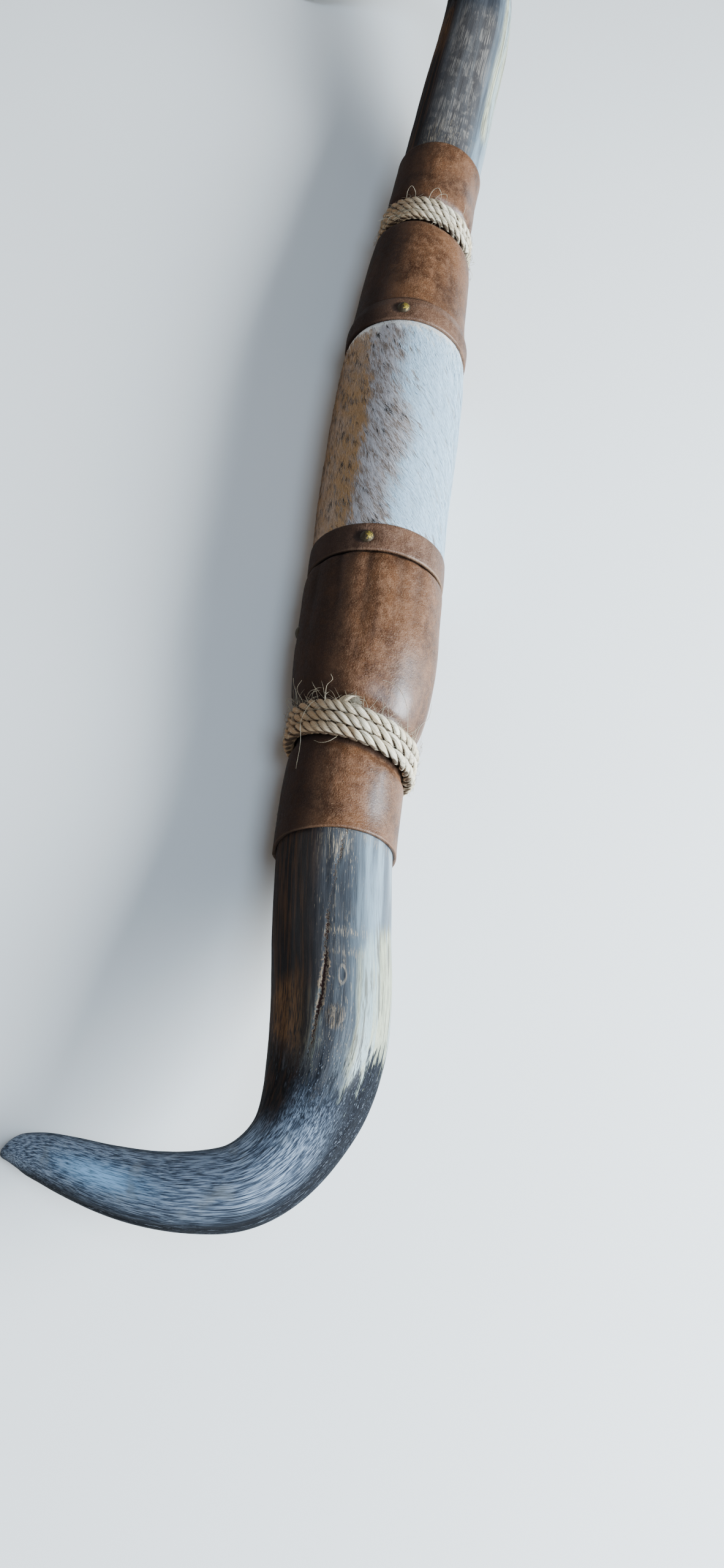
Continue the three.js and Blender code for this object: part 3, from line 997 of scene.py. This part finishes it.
def sleeve_relief(side):
    seed = 200 if side["away"] < 0 else 260

    def relief(stations, angles, radii):
        from_strap = np.abs(stations - side["strap"]["at"])
        from_rope = np.abs(stations - side["rope"]["at"])
        body = (np.abs(stations) < abs(side["rope"]["at"]) - 16).astype(float)
        facet_fade = (1 - smoothstep(from_strap, 30, 105)) * body
        facets = 1.9 * (np.abs(patches(seed, stations, angles, 170, 15) - 0.5) * 2 - 0.5)
        gather_fade = (1 - smoothstep(from_rope, 16, 42)) * smoothstep(from_rope, 10, 15)
        gathers = 0.7 * (patches(seed + 5, stations, angles, 40, 34) - 0.5)
        slack = 1.1 * (layered_patches(seed + 9, stations, angles, 45, 8) - 0.5)
        seam_turn = turn_from(angles, SLEEVE_SEAM_ANGLE)
        lap = 0.9 * smoothstep(seam_turn, -1.5, 1.5) * (1 - smoothstep(seam_turn, 4, 34))
        edge = smoothstep(np.abs(stations - side["cuff"]), 0, 3)
        dents = np.zeros_like(stations)
        for tack in SLEEVE_TACKS:
            away = scar_distance(stations, angles, radii, tack["at"], tack["angle"], 7, 7)
            dents -= 1.3 * hump(away)
        folds = facets * facet_fade + gathers * gather_fade + slack
        return folds * (0.35 + 0.65 * edge) + lap + dents

    return relief


def sleeve_marks(side):
    relief = sleeve_relief(side)

    def marks(stations, angles, radii):
        depth = relief(stations, angles, radii)
        from_rope = np.abs(stations - side["rope"]["at"])
        # painted shade along the rope's and the strap's edges, in the hollows of the folds and
        # along the seam
        crease_shade = 0.9 - 0.9 * smoothstep(from_rope, 11.5, 14.5)
        from_strap = np.abs(stations - side["strap"]["at"])
        crease_shade = np.maximum(crease_shade, 1 - smoothstep(from_strap, 10.2, 12.5))
        crease_shade = np.maximum(crease_shade, smoothstep(-depth, 0.35, 1.3) * 0.6)
        trim_and_highlight = 0.2 - 0.2 * smoothstep(np.abs(stations - side["cuff"]), 0.1, 0.5)
        patch = scar_distance(stations, angles, radii, side["shine"], 66, 34, 22)
        low_patch = scar_distance(stations, angles, radii, side["cuff"] * 0.9, 68, 26, 12)
        gloss = np.maximum(1 - smoothstep(patch, 0.3, 1.2), 1 - smoothstep(low_patch, 0.3, 1.2))
        seam_turn = turn_from(angles, SLEEVE_SEAM_ANGLE)
        crease_shade = np.maximum(crease_shade, hump(seam_turn, 1.2) * 0.8)
        return {"crease_shade": crease_shade, "trim_and_highlight": trim_and_highlight, "painted_shade": painted_shade_of(angles), "gloss": gloss}

    return marks


def make_sleeve(side):
    outer = finely(sleeve_outer(side), 1.3)
    shell = closed_shell(outer, LEATHER)
    bm = turned(shell, SLEEVE_SIDES, sleeve_relief(side), sleeve_marks(side))
    name = "stitched_sleeve_" + side["word"]
    piece_from(bm, name, SLEEVE_LEATHER, ["leather_sleeve_" + side["word"]])


def strap_relief(side):
    at = side["strap"]["at"]
    seed = 300 if side["away"] < 0 else 320

    def relief(stations, angles, radii):
        part = (stations - at) / (STRAP_WIDTH / 2)
        crown = 0.35 * (1 - part**2)
        slack = 0.8 * (layered_patches(seed, stations, angles, 30, 9) - 0.5)
        dents = np.zeros_like(stations)
        for angle in side["strap"]["tacks"]:
            away = scar_distance(stations, angles, radii, at, angle, 6.5, 7.5)
            dents -= 1.5 * hump(away)
        far_edge = smoothstep(part * side["away"], 0.1, 1) * (1.5 if side["away"] > 0 else 0)
        return crown + slack * 0.6 + dents - far_edge

    return relief


def strap_marks(side):
    at = side["strap"]["at"]

    def marks(stations, angles, radii):
        edge = STRAP_WIDTH / 2 - np.abs(stations - at)
        crease_shade = np.zeros_like(stations)
        # painted shade in the dent beside each tack
        for angle in side["strap"]["tacks"]:
            away = scar_distance(stations, angles, radii, at, angle + 3, 4.9, 6.4)
            crease_shade = np.maximum(crease_shade, 1 - smoothstep(away, 0.85, 1.15))
        trim_and_highlight = (1 - smoothstep(edge, 0.1, 0.8)) * (1 if side["away"] < 0 else 0.2)
        # painted highlight: the pale edge is made stronger on the side that faces the window
        trim_and_highlight = trim_and_highlight * (0.15 + 0.85 * smoothstep(angles, 92, 60))
        return {"crease_shade": crease_shade, "trim_and_highlight": trim_and_highlight, "painted_shade": painted_shade_of(angles), "gloss": crease_shade * 0}

    return marks


def make_strap(side):
    at = side["strap"]["at"]
    radius = side["strap"]["radius"]
    half = STRAP_WIDTH / 2
    outer = [[at - half + step * STRAP_WIDTH / 18, radius] for step in range(19)]
    shell = closed_shell(outer, STRAP_THICKNESS, 0.6)
    bm = turned(shell, STRAP_SIDES, strap_relief(side), strap_marks(side))
    name = "tacked_strap_" + side["word"]
    piece_from(bm, name, STRAP_LEATHER, ["strap_" + side["word"]])


# Cowhide: a skin, and short hair lying on it

SKIN_SIDES = 144
HAIR_LIFT = 1.5
HAIRS_A_PIECE = 60000
HAIR_PIECES = 3
# Coat colours: white tinted blue as painted cool light, lilac grey as painted half shade, tan as
# painted warm shade
COAT_WHITE_COOL_LIT = np.array([0.64, 0.82, 0.94])
COAT_WARM_SHADE = np.array([0.56, 0.32, 0.145])
COAT_GREY = np.array([0.36, 0.275, 0.225])
COAT_HALF_SHADE = np.array([0.68, 0.63, 0.63])
COAT_BLACK = np.array([0.025, 0.02, 0.017])
COAT_RADIUS = 45.0
HAIR_LENGTH = (6, 12)
HAIR_WIDTH = (0.16, 0.3)
HAIR_RISE = (0.35, 1.5)
HAIR_SPREAD = 5
HAIR_CURL = 0.12
CLUMP_TURN = 0.24
CLUMP_RISE = 0.7
STREAK_LIE = 30.0
# Stations and angles where the painted warm shade and the painted half shade begin on the hide
WARM_SHADE_EDGE = [[-78, 132], [-33, 131], [16, 129], [72, 134]]
HALF_SHADE_EDGE = [[-80, 100], [-49, 97], [1, 88], [32, 106], [81, 104]]
DARK_TUFTS = [(29, 160), (-35, 145), (-62, 155), (2, 100), (7, 113), (55, 148), (-8, 151)]


def hide_outer():
    half = STRAP_WIDTH / 2 + GAP
    left_in = LEFT["strap"]["at"] + JOINT
    left_bend = LEFT["strap"]["at"] + half
    right_bend = RIGHT["strap"]["at"] - half
    right_in = RIGHT["strap"]["at"] - JOINT
    skin = [[station, radius - HAIR_LIFT] for station, radius in HIDE_PANEL]
    ends = [[left_in, under_strap(LEFT)], [left_bend, under_strap(LEFT)]]
    others = [[right_bend, under_strap(RIGHT)], [right_in, under_strap(RIGHT)]]
    return [*ends, *skin, *others]


def make_skin():
    outer = finely(hide_outer(), 2.0)
    bm = turned(closed_shell(outer, 1.2, 0.4), SKIN_SIDES)
    piece_from(bm, "cowhide_skin", SKIN, ["cowhide_panel"])


def blade_template():
    """One hair: a narrow strip of two steps that ends in a point."""
    bm = bmesh.new()
    bmesh.ops.create_grid(bm, x_segments=1, y_segments=2, size=0.5)
    tips = [vert for vert in bm.verts if vert.co.y > 0.4]
    bmesh.ops.pointmerge(bm, verts=tips, merge_co=(0.0, 0.5, 0.0))
    bmesh.ops.triangulate(bm, faces=bm.faces[:])
    bm.verts.index_update()
    spots = np.array([[vert.co.x * 2, vert.co.y + 0.5] for vert in bm.verts])
    faces = np.array([[vert.index for vert in face.verts] for face in bm.faces])
    bm.free()
    return spots, faces


def clump_chance(seed, stations, angles, length, cells):
    """One even chance for each small clump of hair, so many mm long and so many around."""
    table = np.random.default_rng(seed).random((TABLE_ROWS, cells))
    jog = patches(seed + 50, stations, angles, length * 1.7, cells // 2)
    row = np.floor(stations / length + ROW_SHIFT + jog).astype(int) % TABLE_ROWS
    column = np.floor(angles / 360 * cells + jog * 1.5).astype(int) % cells
    return table[row, column]


def lie_of_hair(stations, angles):
    """Degrees that the hair turns, on average, from the length of the horn."""
    wrapped = (angles + 90) % 360 - 90
    top_side = smoothstep(wrapped, 150, 85) * smoothstep(wrapped, -25, 45)
    return 10 + 34 * top_side * (0.45 + 0.55 * smoothstep(stations, 90, -20))


def along_hair(stations, angles):
    """Places counted along the lie of the hair and, as an angle, across it."""
    lie = math.radians(STREAK_LIE)
    arc = np.radians(angles - 90) * COAT_RADIUS
    along = math.cos(lie) * stations + math.sin(lie) * arc
    across = math.cos(lie) * arc - math.sin(lie) * stations
    return along, np.degrees(across / COAT_RADIUS)


def coat_colors(stations, angles, chance):
    """The coat's colour at each root: white tinted blue as painted cool light on the window side, a
    painted half shade of lilac grey with grey streaks beyond, and a painted warm shade of tan on
    the side away from the window, all specked.
    """
    warm_shade_edge = read_table(WARM_SHADE_EDGE, stations)
    half_shade_edge = read_table(HALF_SHADE_EDGE, stations)
    turn_back = 1 - smoothstep(angles, 205, 245)
    drift = layered_patches(401, stations, angles, 17, 26)
    along, across = along_hair(stations, angles)
    ragged = angles + 9 * (clump_chance(402, along, across, 9.0, 150) - 0.5) + 8 * (drift - 0.5)
    warm_shade_side = smoothstep(ragged, warm_shade_edge - 3, warm_shade_edge + 2) * turn_back
    half_shade_side = smoothstep(ragged, half_shade_edge - 7, half_shade_edge + 10) * turn_back
    thin = clump_chance(403, along, across, 6.0, 340)
    wide = clump_chance(405, along, across, 8.0, 260)
    warm_shade_part = warm_shade_side * (0.72 + 0.28 * smoothstep(drift + thin * 0.4, 0.4, 0.9))
    warm_shade_part = np.maximum(warm_shade_part, 0.4 * half_shade_side * (thin < 0.3))
    grey_in_half_shade = half_shade_side * (1 - warm_shade_side * 0.75) * (0.5 + 0.2 * smoothstep(drift, 0.35, 0.65))
    back = facing(angles, 212, 245, 300, 345)
    roan = back * smoothstep(layered_patches(415, stations, angles, 20, 24), 0.48, 0.64)
    faint = 0.03 + 0.03 * smoothstep(drift, 0.5, 0.7)
    is_grey = (wide < faint + 0.22 * grey_in_half_shade + roan * 0.6) | (thin < 0.5 * grey_in_half_shade)
    near_tuft = np.zeros_like(stations)
    for at, angle in DARK_TUFTS:
        away = scar_distance(stations, angles, COAT_RADIUS, at, angle, 3.4, 1.9)
        near_tuft = np.maximum(near_tuft, 1 - smoothstep(away, 0.5, 1.25))
    speck = clump_chance(417, along, across, 2.6, 260)
    is_black = speck < 0.045 * warm_shade_side + 0.035 * half_shade_side + roan * 0.1
    is_black = is_black | (chance[:, 1] < near_tuft * 0.8)
    color = COAT_WHITE_COOL_LIT + (COAT_HALF_SHADE - COAT_WHITE_COOL_LIT) * half_shade_side[:, None]
    color = color + (COAT_WARM_SHADE - color) * warm_shade_part[:, None]
    color = np.where((is_grey & (chance[:, 0] < 0.85))[:, None], COAT_GREY, color)
    color = np.where(is_black[:, None], COAT_BLACK, color)
    return color * (0.86 + 0.24 * chance[:, 2:3])


def hair_direction(stations, angles):
    """Degrees that the hair turns from the length of the horn towards the outer side."""
    swirl = 14 * (layered_patches(421, stations, angles, 34, 10) - 0.5)
    return lie_of_hair(stations, angles) + swirl


def make_hair(index):
    rng = np.random.default_rng(500 + index)
    count = HAIRS_A_PIECE
    first = LEFT["strap"]["at"] + STRAP_WIDTH / 2 + 0.4
    last = RIGHT["strap"]["at"] - STRAP_WIDTH / 2 + 1.5
    stations = rng.uniform(first, last, count)
    angles = rng.uniform(0, 360, count)
    lengths = rng.uniform(*HAIR_LENGTH, count)
    turn = np.radians(hair_direction(stations, angles) + rng.normal(0, HAIR_SPREAD, count))
    clump = patches(431, *along_hair(stations, angles), 6.0, 110) - 0.5
    turn = turn + clump * CLUMP_TURN
    curl = rng.normal(0, HAIR_CURL, count)
    height = rng.uniform(*HAIR_RISE, count) + clump * CLUMP_RISE
    base = read_table(hide_outer(), stations)
    spots, faces = blade_template()
    width = rng.uniform(*HAIR_WIDTH, count)[:, None]
    side = spots[None, :, 0] * width / 2
    run = spots[None, :, 1]
    bent = turn[:, None] + curl[:, None] * run
    ahead = run * lengths[:, None]
    down = -np.cos(bent) * ahead + np.sin(bent) * side
    over = -np.sin(bent) * ahead - np.cos(bent) * side
    at = np.clip(stations[:, None] + down, first - 0.2, last + 0.2)
    degrees = angles[:, None] + np.degrees(over / base[:, None])
    lift = np.sin(np.minimum(run * 1.25, 1) * math.pi / 2) * np.maximum(height, 0.1)[:, None]
    edge = 1 - smoothstep(at, first + 2.5, first)
    radii = base[:, None] - 0.15 + lift * (0.2 + 0.8 * edge)
    points = placed(at, degrees, radii)
    points[..., 2] = np.maximum(points[..., 2], 0.0001)
    hairs = (faces[None] + np.arange(count)[:, None, None] * len(spots)).reshape(-1, 3)
    mesh = bpy.data.meshes.new("short_hair_%d" % (index + 1))
    mesh.from_pydata(points.reshape(-1, 3).tolist(), [], hairs.tolist())
    color = coat_colors(stations, angles % 360, rng.random((count, 3)))
    root_shade = 0.55 + 0.45 * run[..., None]
    color = color[:, None, :] * root_shade
    full = np.concatenate([color, np.ones((*color.shape[:2], 1))], -1)
    coat = mesh.color_attributes.new("coat", "FLOAT_COLOR", "POINT")
    coat.data.foreach_set("color", full.astype(np.float32).ravel())
    return piece_of_mesh(mesh, mesh.name, HAIR)


# Rope bands

ROPE_TURNS = 3
ROPE_START = 262
STRAND_RADIUS = 0.235
STRAND_OFFSET = 0.275
ROPE_LAY = 2.7
STRAND_STEPS = 620
CROSSING = 0.1
TAIL_STEPS = 40
FIBRES = 780
FIBRE_BRUSH = 110
LONG_FIBRES = {
    "left": [
        [[-221, 137, 42], [-226, 140, 44.5], [-233, 144, 45], [-239, 146, 44.5], [-243, 147, 43]],
        [[-238, 147, 44], [-243, 147, 42.5], [-250, 147, 40.5], [-262, 148, 39.4]],
        [[-222, 160, 43], [-216, 158, 46], [-211, 159, 48], [-204, 158, 50]],
        [[-222, 152, 43], [-214, 156, 47], [-208, 150, 48]],
        [[-222, 128, 43], [-214, 127, 46], [-210, 122, 48], [-207, 123, 50]],
        [[-222, 40, 43], [-213, 42, 46], [-207, 38, 49], [-201, 41, 51]],
        [[-221, 52, 43], [-209, 62, 46], [-203, 75, 48], [-203, 86, 48]],
        [[-245, 112, 42], [-248, 118, 41], [-249, 126, 40], [-248, 133, 40]],
    ],
    "right": [
        [[209, 132, 35], [214, 130, 38], [217, 124, 40], [213, 120, 37], [207, 120, 36]],
        [[208, 104, 35], [215, 101, 38], [218, 95, 40], [215, 90, 38], [208, 90, 36]],
        [[208, 98, 35], [214, 92, 38], [216, 84, 39], [210, 82, 36]],
        [[208, 60, 35], [214, 58, 38], [220, 60, 40]],
    ],
}


def rope_middle(side, turns):
    """Station, angle and radius of the rope's middle after so many turns."""
    size = side["rope"]["size"]
    rows = sum(smoothstep(turns, step - CROSSING, step + CROSSING) for step in (1, 2))
    station = side["rope"]["at"] + (rows - 1) * size * side["away"] * -1
    angle = ROPE_START + turns * 360 * side["away"] * -1
    radius = side["rope"]["radius"] + size / 2 + 0.1
    return station, angle, radius


def strand_path(side, strand):
    """A strand's path round the sleeve, with the rope's own middle and its closing ends."""
    turns = np.linspace(0.0, ROPE_TURNS, STRAND_STEPS)
    station, angles, radius = rope_middle(side, turns)
    offset = side["rope"]["size"] * STRAND_OFFSET
    run = np.radians(turns * 360) * radius
    slip = 2.4 * (patches(605, run, run * 0, 24, 3) - 0.5)
    phase = run / (side["rope"]["size"] * ROPE_LAY) * math.tau + strand * math.tau / 3 + slip
    wobble = 0.5 * (patches(601 + strand, run, run * 0, 9, 3) - 0.5)
    across = station + offset * np.sin(phase) * side["away"] * -1 + wobble
    ends = smoothstep(turns, 0.0, 0.02) * smoothstep(turns, ROPE_TURNS, ROPE_TURNS - 0.02)
    path = placed(across, angles, radius + offset * np.cos(phase) + wobble)
    plump = 1 + 0.16 * np.cos(phase)
    return path, placed(station, angles, radius), np.sqrt(ends) * plump


def tail_path(side, strand):
    """A strand of the rope's cut end, which comes up from under the outermost turn."""
    part = np.linspace(0, 1, TAIL_STEPS)
    size = side["rope"]["size"]
    at = side["rope"]["at"] - side["away"] * (size * 0.9 + 6.2 * smoothstep(part, 0.1, 0.75))
    angle = 127 - 24 * part
    radius = side["rope"]["radius"] + 1.5 + 3.2 * smoothstep(part, 0.1, 0.7)
    phase = part / ROPE_LAY * 2.4 * math.tau + strand * math.tau / 3
    spread = size * STRAND_OFFSET * (0.7 + 0.6 * smoothstep(part, 0.55, 1))
    path = placed(at + spread * np.sin(phase), angle, radius + spread * np.cos(phase))
    return path, placed(at, angle, radius + part * 0)


def yarn_section(run, turn):
    yarns = math.cos(7 * turn + run * 1100)
    return 1 + 0.06 * yarns


def make_rope(side):
    paths = []
    middles = []
    widths = []
    full = side["rope"]["size"] * STRAND_RADIUS * MM
    for strand in range(3):
        path, middle, ends = strand_path(side, strand)
        paths.append(path)
        middles.append(middle)
        widths.append(full * (0.02 + 0.98 * ends))
    for strand in range(3 if side is LEFT else 0):
        path, middle = tail_path(side, strand)
        part = np.linspace(0, 1, len(path))
        paths.append(path)
        middles.append(middle)
        widths.append(full * (0.88 - 0.6 * smoothstep(part, 0.7, 1)))
    tones = [0.1, 0.5, 0.9, 0.1, 0.5, 0.9]
    half = side["rope"]["size"] / 2 * MM
    marks = {"section": yarn_section, "tone": tones, "middles": middles, "half": half}
    bm = tubes(paths, widths, 18, marks)
    name = "wound_rope_" + side["word"]
    piece_from(bm, name, SISAL, ["rope_" + side["word"]])


def fibre_path(rng, side, turns, length, stand, lean):
    """A loose fibre that leaves the rope's surface, or bows over it."""
    station, angle, radius = rope_middle(side, turns)
    reach = side["rope"]["size"] * 0.42
    part = np.linspace(0, 1, 8)
    way = rng.choice([-1, 1])
    sway = rng.normal(0, 0.9) * np.sin(part * math.pi) + rng.uniform(-2.8, 2.8)
    around = np.degrees(way * length * part * math.cos(lean) / (radius + 3))
    stations = station + math.sin(lean) * length * part + sway
    heights = radius + reach + stand * part**1.4
    if rng.random() < 0.5:
        heights = radius + reach + stand * np.sin(part * math.pi)
    return placed(stations, angle + around, heights)


def make_fibres(side):
    """Loose fibres that stand off the rope, most along the edge next to the body."""
    rng = np.random.default_rng(700 + side["away"])
    inner = -side["away"]
    paths = []
    widths = []
    taper = np.array([0.6, 1, 1, 1, 1, 0.9, 0.7, 0.15])
    for index in range(FIBRES):
        turns = rng.uniform(0.03, ROPE_TURNS - 0.03)
        lean = rng.normal(0, 0.5)
        length = rng.uniform(3.5, 9)
        stand = abs(rng.normal(0, 0.8)) + 0.2
        thick = rng.uniform(0.05, 0.1)
        if index % 6 == 0:
            turns = rng.uniform(2.1, ROPE_TURNS - 0.03)
            lean = inner * abs(rng.normal(0.8, 0.45))
            length = rng.uniform(6, 14)
            stand = abs(rng.normal(0, 2.6)) + 1.0
            thick = rng.uniform(0.08, 0.12)
        paths.append(fibre_path(rng, side, turns, length, stand, lean))
        widths.append(thick * MM * taper)
    brush = FIBRE_BRUSH if side is LEFT else 0
    for index in range(brush):
        part = np.linspace(0, 1, 8)
        station = rng.normal(-217.5, 1.4) + rng.normal(0, 1.4) * part
        angle = 109 - (4 + rng.uniform(2, 9)) * part + rng.normal(0, 2)
        height = rng.normal(39.4, 1.1) + rng.normal(0.4, 1.2) * part**1.3
        paths.append(placed(station, angle, height))
        widths.append(rng.uniform(0.08, 0.14) * MM * taper)
    for line in LONG_FIBRES[side["word"]]:
        line = smooth_curve(line, 4)
        paths.append(placed(*line.T))
        widths.append(0.19 * MM * np.linspace(1, 0.6, len(line)))
    bm = tubes(paths, widths, 3)
    piece_from(bm, "rope_fibres_" + side["word"], LOOSE_SISAL)


# Tacks


def tack_place(at, angle, radius):
    foot = Vector(placed(np.array([at]), np.array([angle]), np.array([radius]), False)[0])
    root = Vector(placed(np.array([at]), np.array([angle]), np.array([0.0]), False)[0])
    outward = (foot - root).normalized()
    turn = Vector((0, 0, 1)).rotation_difference(outward)
    return Matrix.Translation(foot) @ turn.to_matrix().to_4x4()


def make_tack(cad_name, at, angle, radius):
    """A domed head with a rolled rim, spun from its section, on a pointed shank."""
    head = TACK_HEAD / 2
    shank = TACK_SHANK / 2
    section = [[0, TACK_RISE]]
    for step in range(1, 9):
        slope = math.radians(step * 9.5)
        section.append([head * 0.97 * math.sin(slope) / math.sin(math.radians(76)),
                        0.45 + (TACK_RISE - 0.45) * (math.cos(slope) - 0.242) / 0.758])
    section += [[head, 0.3], [head * 0.97, 0.02], [head * 0.8, 0.0], [shank + 0.3, 0.0]]
    section += [[shank, -0.4], [shank, -TACK_LENGTH + 3], [0, -TACK_LENGTH]]
    bm = bmesh.new()
    worn_and_sheen = bm.verts.layers.float.new("worn_and_sheen")
    verts = []
    for reach, rise in section:
        vert = bm.verts.new((reach * MM, 0, rise * MM))
        vert[worn_and_sheen] = max(min(1.0 - (reach / head) ** 2.4, 1.0), 0.0) if rise > 0.2 else 0.0
        verts.append(vert)
    edges = [bm.edges.new(pair) for pair in zip(verts, verts[1:])]
    bmesh.ops.spin(
        bm, geom=verts + edges, cent=(0, 0, 0), axis=(0, 0, 1), angle=math.tau,
        steps=32, use_merge=True, use_duplicate=False)
    bmesh.ops.remove_doubles(bm, verts=bm.verts[:], dist=1e-6)
    rng = np.random.default_rng(int(abs(at) * 10 + angle))
    for vert in bm.verts:
        if vert.co.z > 0.0001:
            vert.co.z += float(rng.normal(0, 0.00002))
    place = tack_place(at, angle, radius)
    bmesh.ops.transform(bm, matrix=place, verts=bm.verts[:])
    # painted reflection: the head is painted bright gold towards the window and dark on its far
    # side, over real wear on the dome's top
    window_way = Vector(frames_at(np.array([float(at)]))[1][0])
    for vert in bm.verts:
        lean = window_way.dot(vert.co - place.translation) / (head * MM)
        vert[worn_and_sheen] *= min(max(0.62 + 0.85 * lean, 0.12), 1.0)
    piece_from(bm, cad_name.replace("tack", "brass_tack"), BRASS, [cad_name])


def make_tacks():
    flat = math.cos(math.pi / CAD_SIDES)
    for side in (LEFT, RIGHT):
        radius = side["strap"]["radius"] * flat - TACK_SINK
        for index, angle in enumerate(side["strap"]["tacks"]):
            cad_name = "tack_strap_%s_%d" % (side["word"], index + 1)
            make_tack(cad_name, side["strap"]["at"], angle, radius)
    for tack in SLEEVE_TACKS:
        radius = radius_at(sleeve_outer(tack["side"]), tack["at"]) * flat - TACK_SINK
        make_tack(tack["node"], tack["at"], tack["angle"], radius)


# Floor and light

FLOOR_REACH = 6.0
LIGHTS = [
    ("window", (-0.6, -1.55, 0.95), (-0.3, 0, 0.04), (1.9, 1.0), 215, (0.78, 0.9, 1.0)),
    ("skylight", (-0.5, -0.15, 1.7), (-0.45, 0.05, 0.04), (0.7, 0.6), 19, (0.55, 0.76, 1.0)),
    ("room", (0.0, 1.6, 0.9), (0, 0, 0.04), (1.6, 1.0), 3, (1.0, 0.72, 0.5)),
]
WORLD_COLOR = (0.96, 0.98, 1.0, 1.0)
WORLD_STRENGTH = 0.2


def make_floor():
    bm = bmesh.new()
    bmesh.ops.create_grid(bm, x_segments=2, y_segments=2, size=FLOOR_REACH)
    mesh = bpy.data.meshes.new("floor")
    bm.to_mesh(mesh)
    bm.free()
    mesh.materials.append(floor_material())
    floor = bpy.data.objects.new("floor", mesh)
    bpy.context.scene.collection.objects.link(floor)


def add_light(name, spot, target, size, power, color):
    data = bpy.data.lights.new(name, "AREA")
    data.shape = "RECTANGLE"
    data.size, data.size_y = size
    data.energy = power
    data.color = color
    light = bpy.data.objects.new(name, data)
    aim = Vector(target) - Vector(spot)
    turn = aim.to_track_quat("-Z", "Y").to_matrix().to_4x4()
    light.matrix_world = Matrix.Translation(spot) @ turn
    bpy.context.scene.collection.objects.link(light)


def make_lights():
    for row in LIGHTS:
        add_light(*row)
    world = bpy.data.worlds.new("studio")
    world.use_nodes = True
    back = world.node_tree.nodes["Background"]
    back.inputs["Color"].default_value = WORLD_COLOR
    back.inputs["Strength"].default_value = WORLD_STRENGTH
    bpy.context.scene.world = world


make_camera()
make_horns()
for sleeve_side in (LEFT, RIGHT):
    make_sleeve(sleeve_side)
    make_strap(sleeve_side)
    make_rope(sleeve_side)
    make_fibres(sleeve_side)
make_skin()
for hair_index in range(HAIR_PIECES):
    make_hair(hair_index)
make_tacks()
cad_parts["wood_core"].data.materials.clear()
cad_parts["wood_core"].data.materials.append(wood_material())
make_floor()
make_lights()
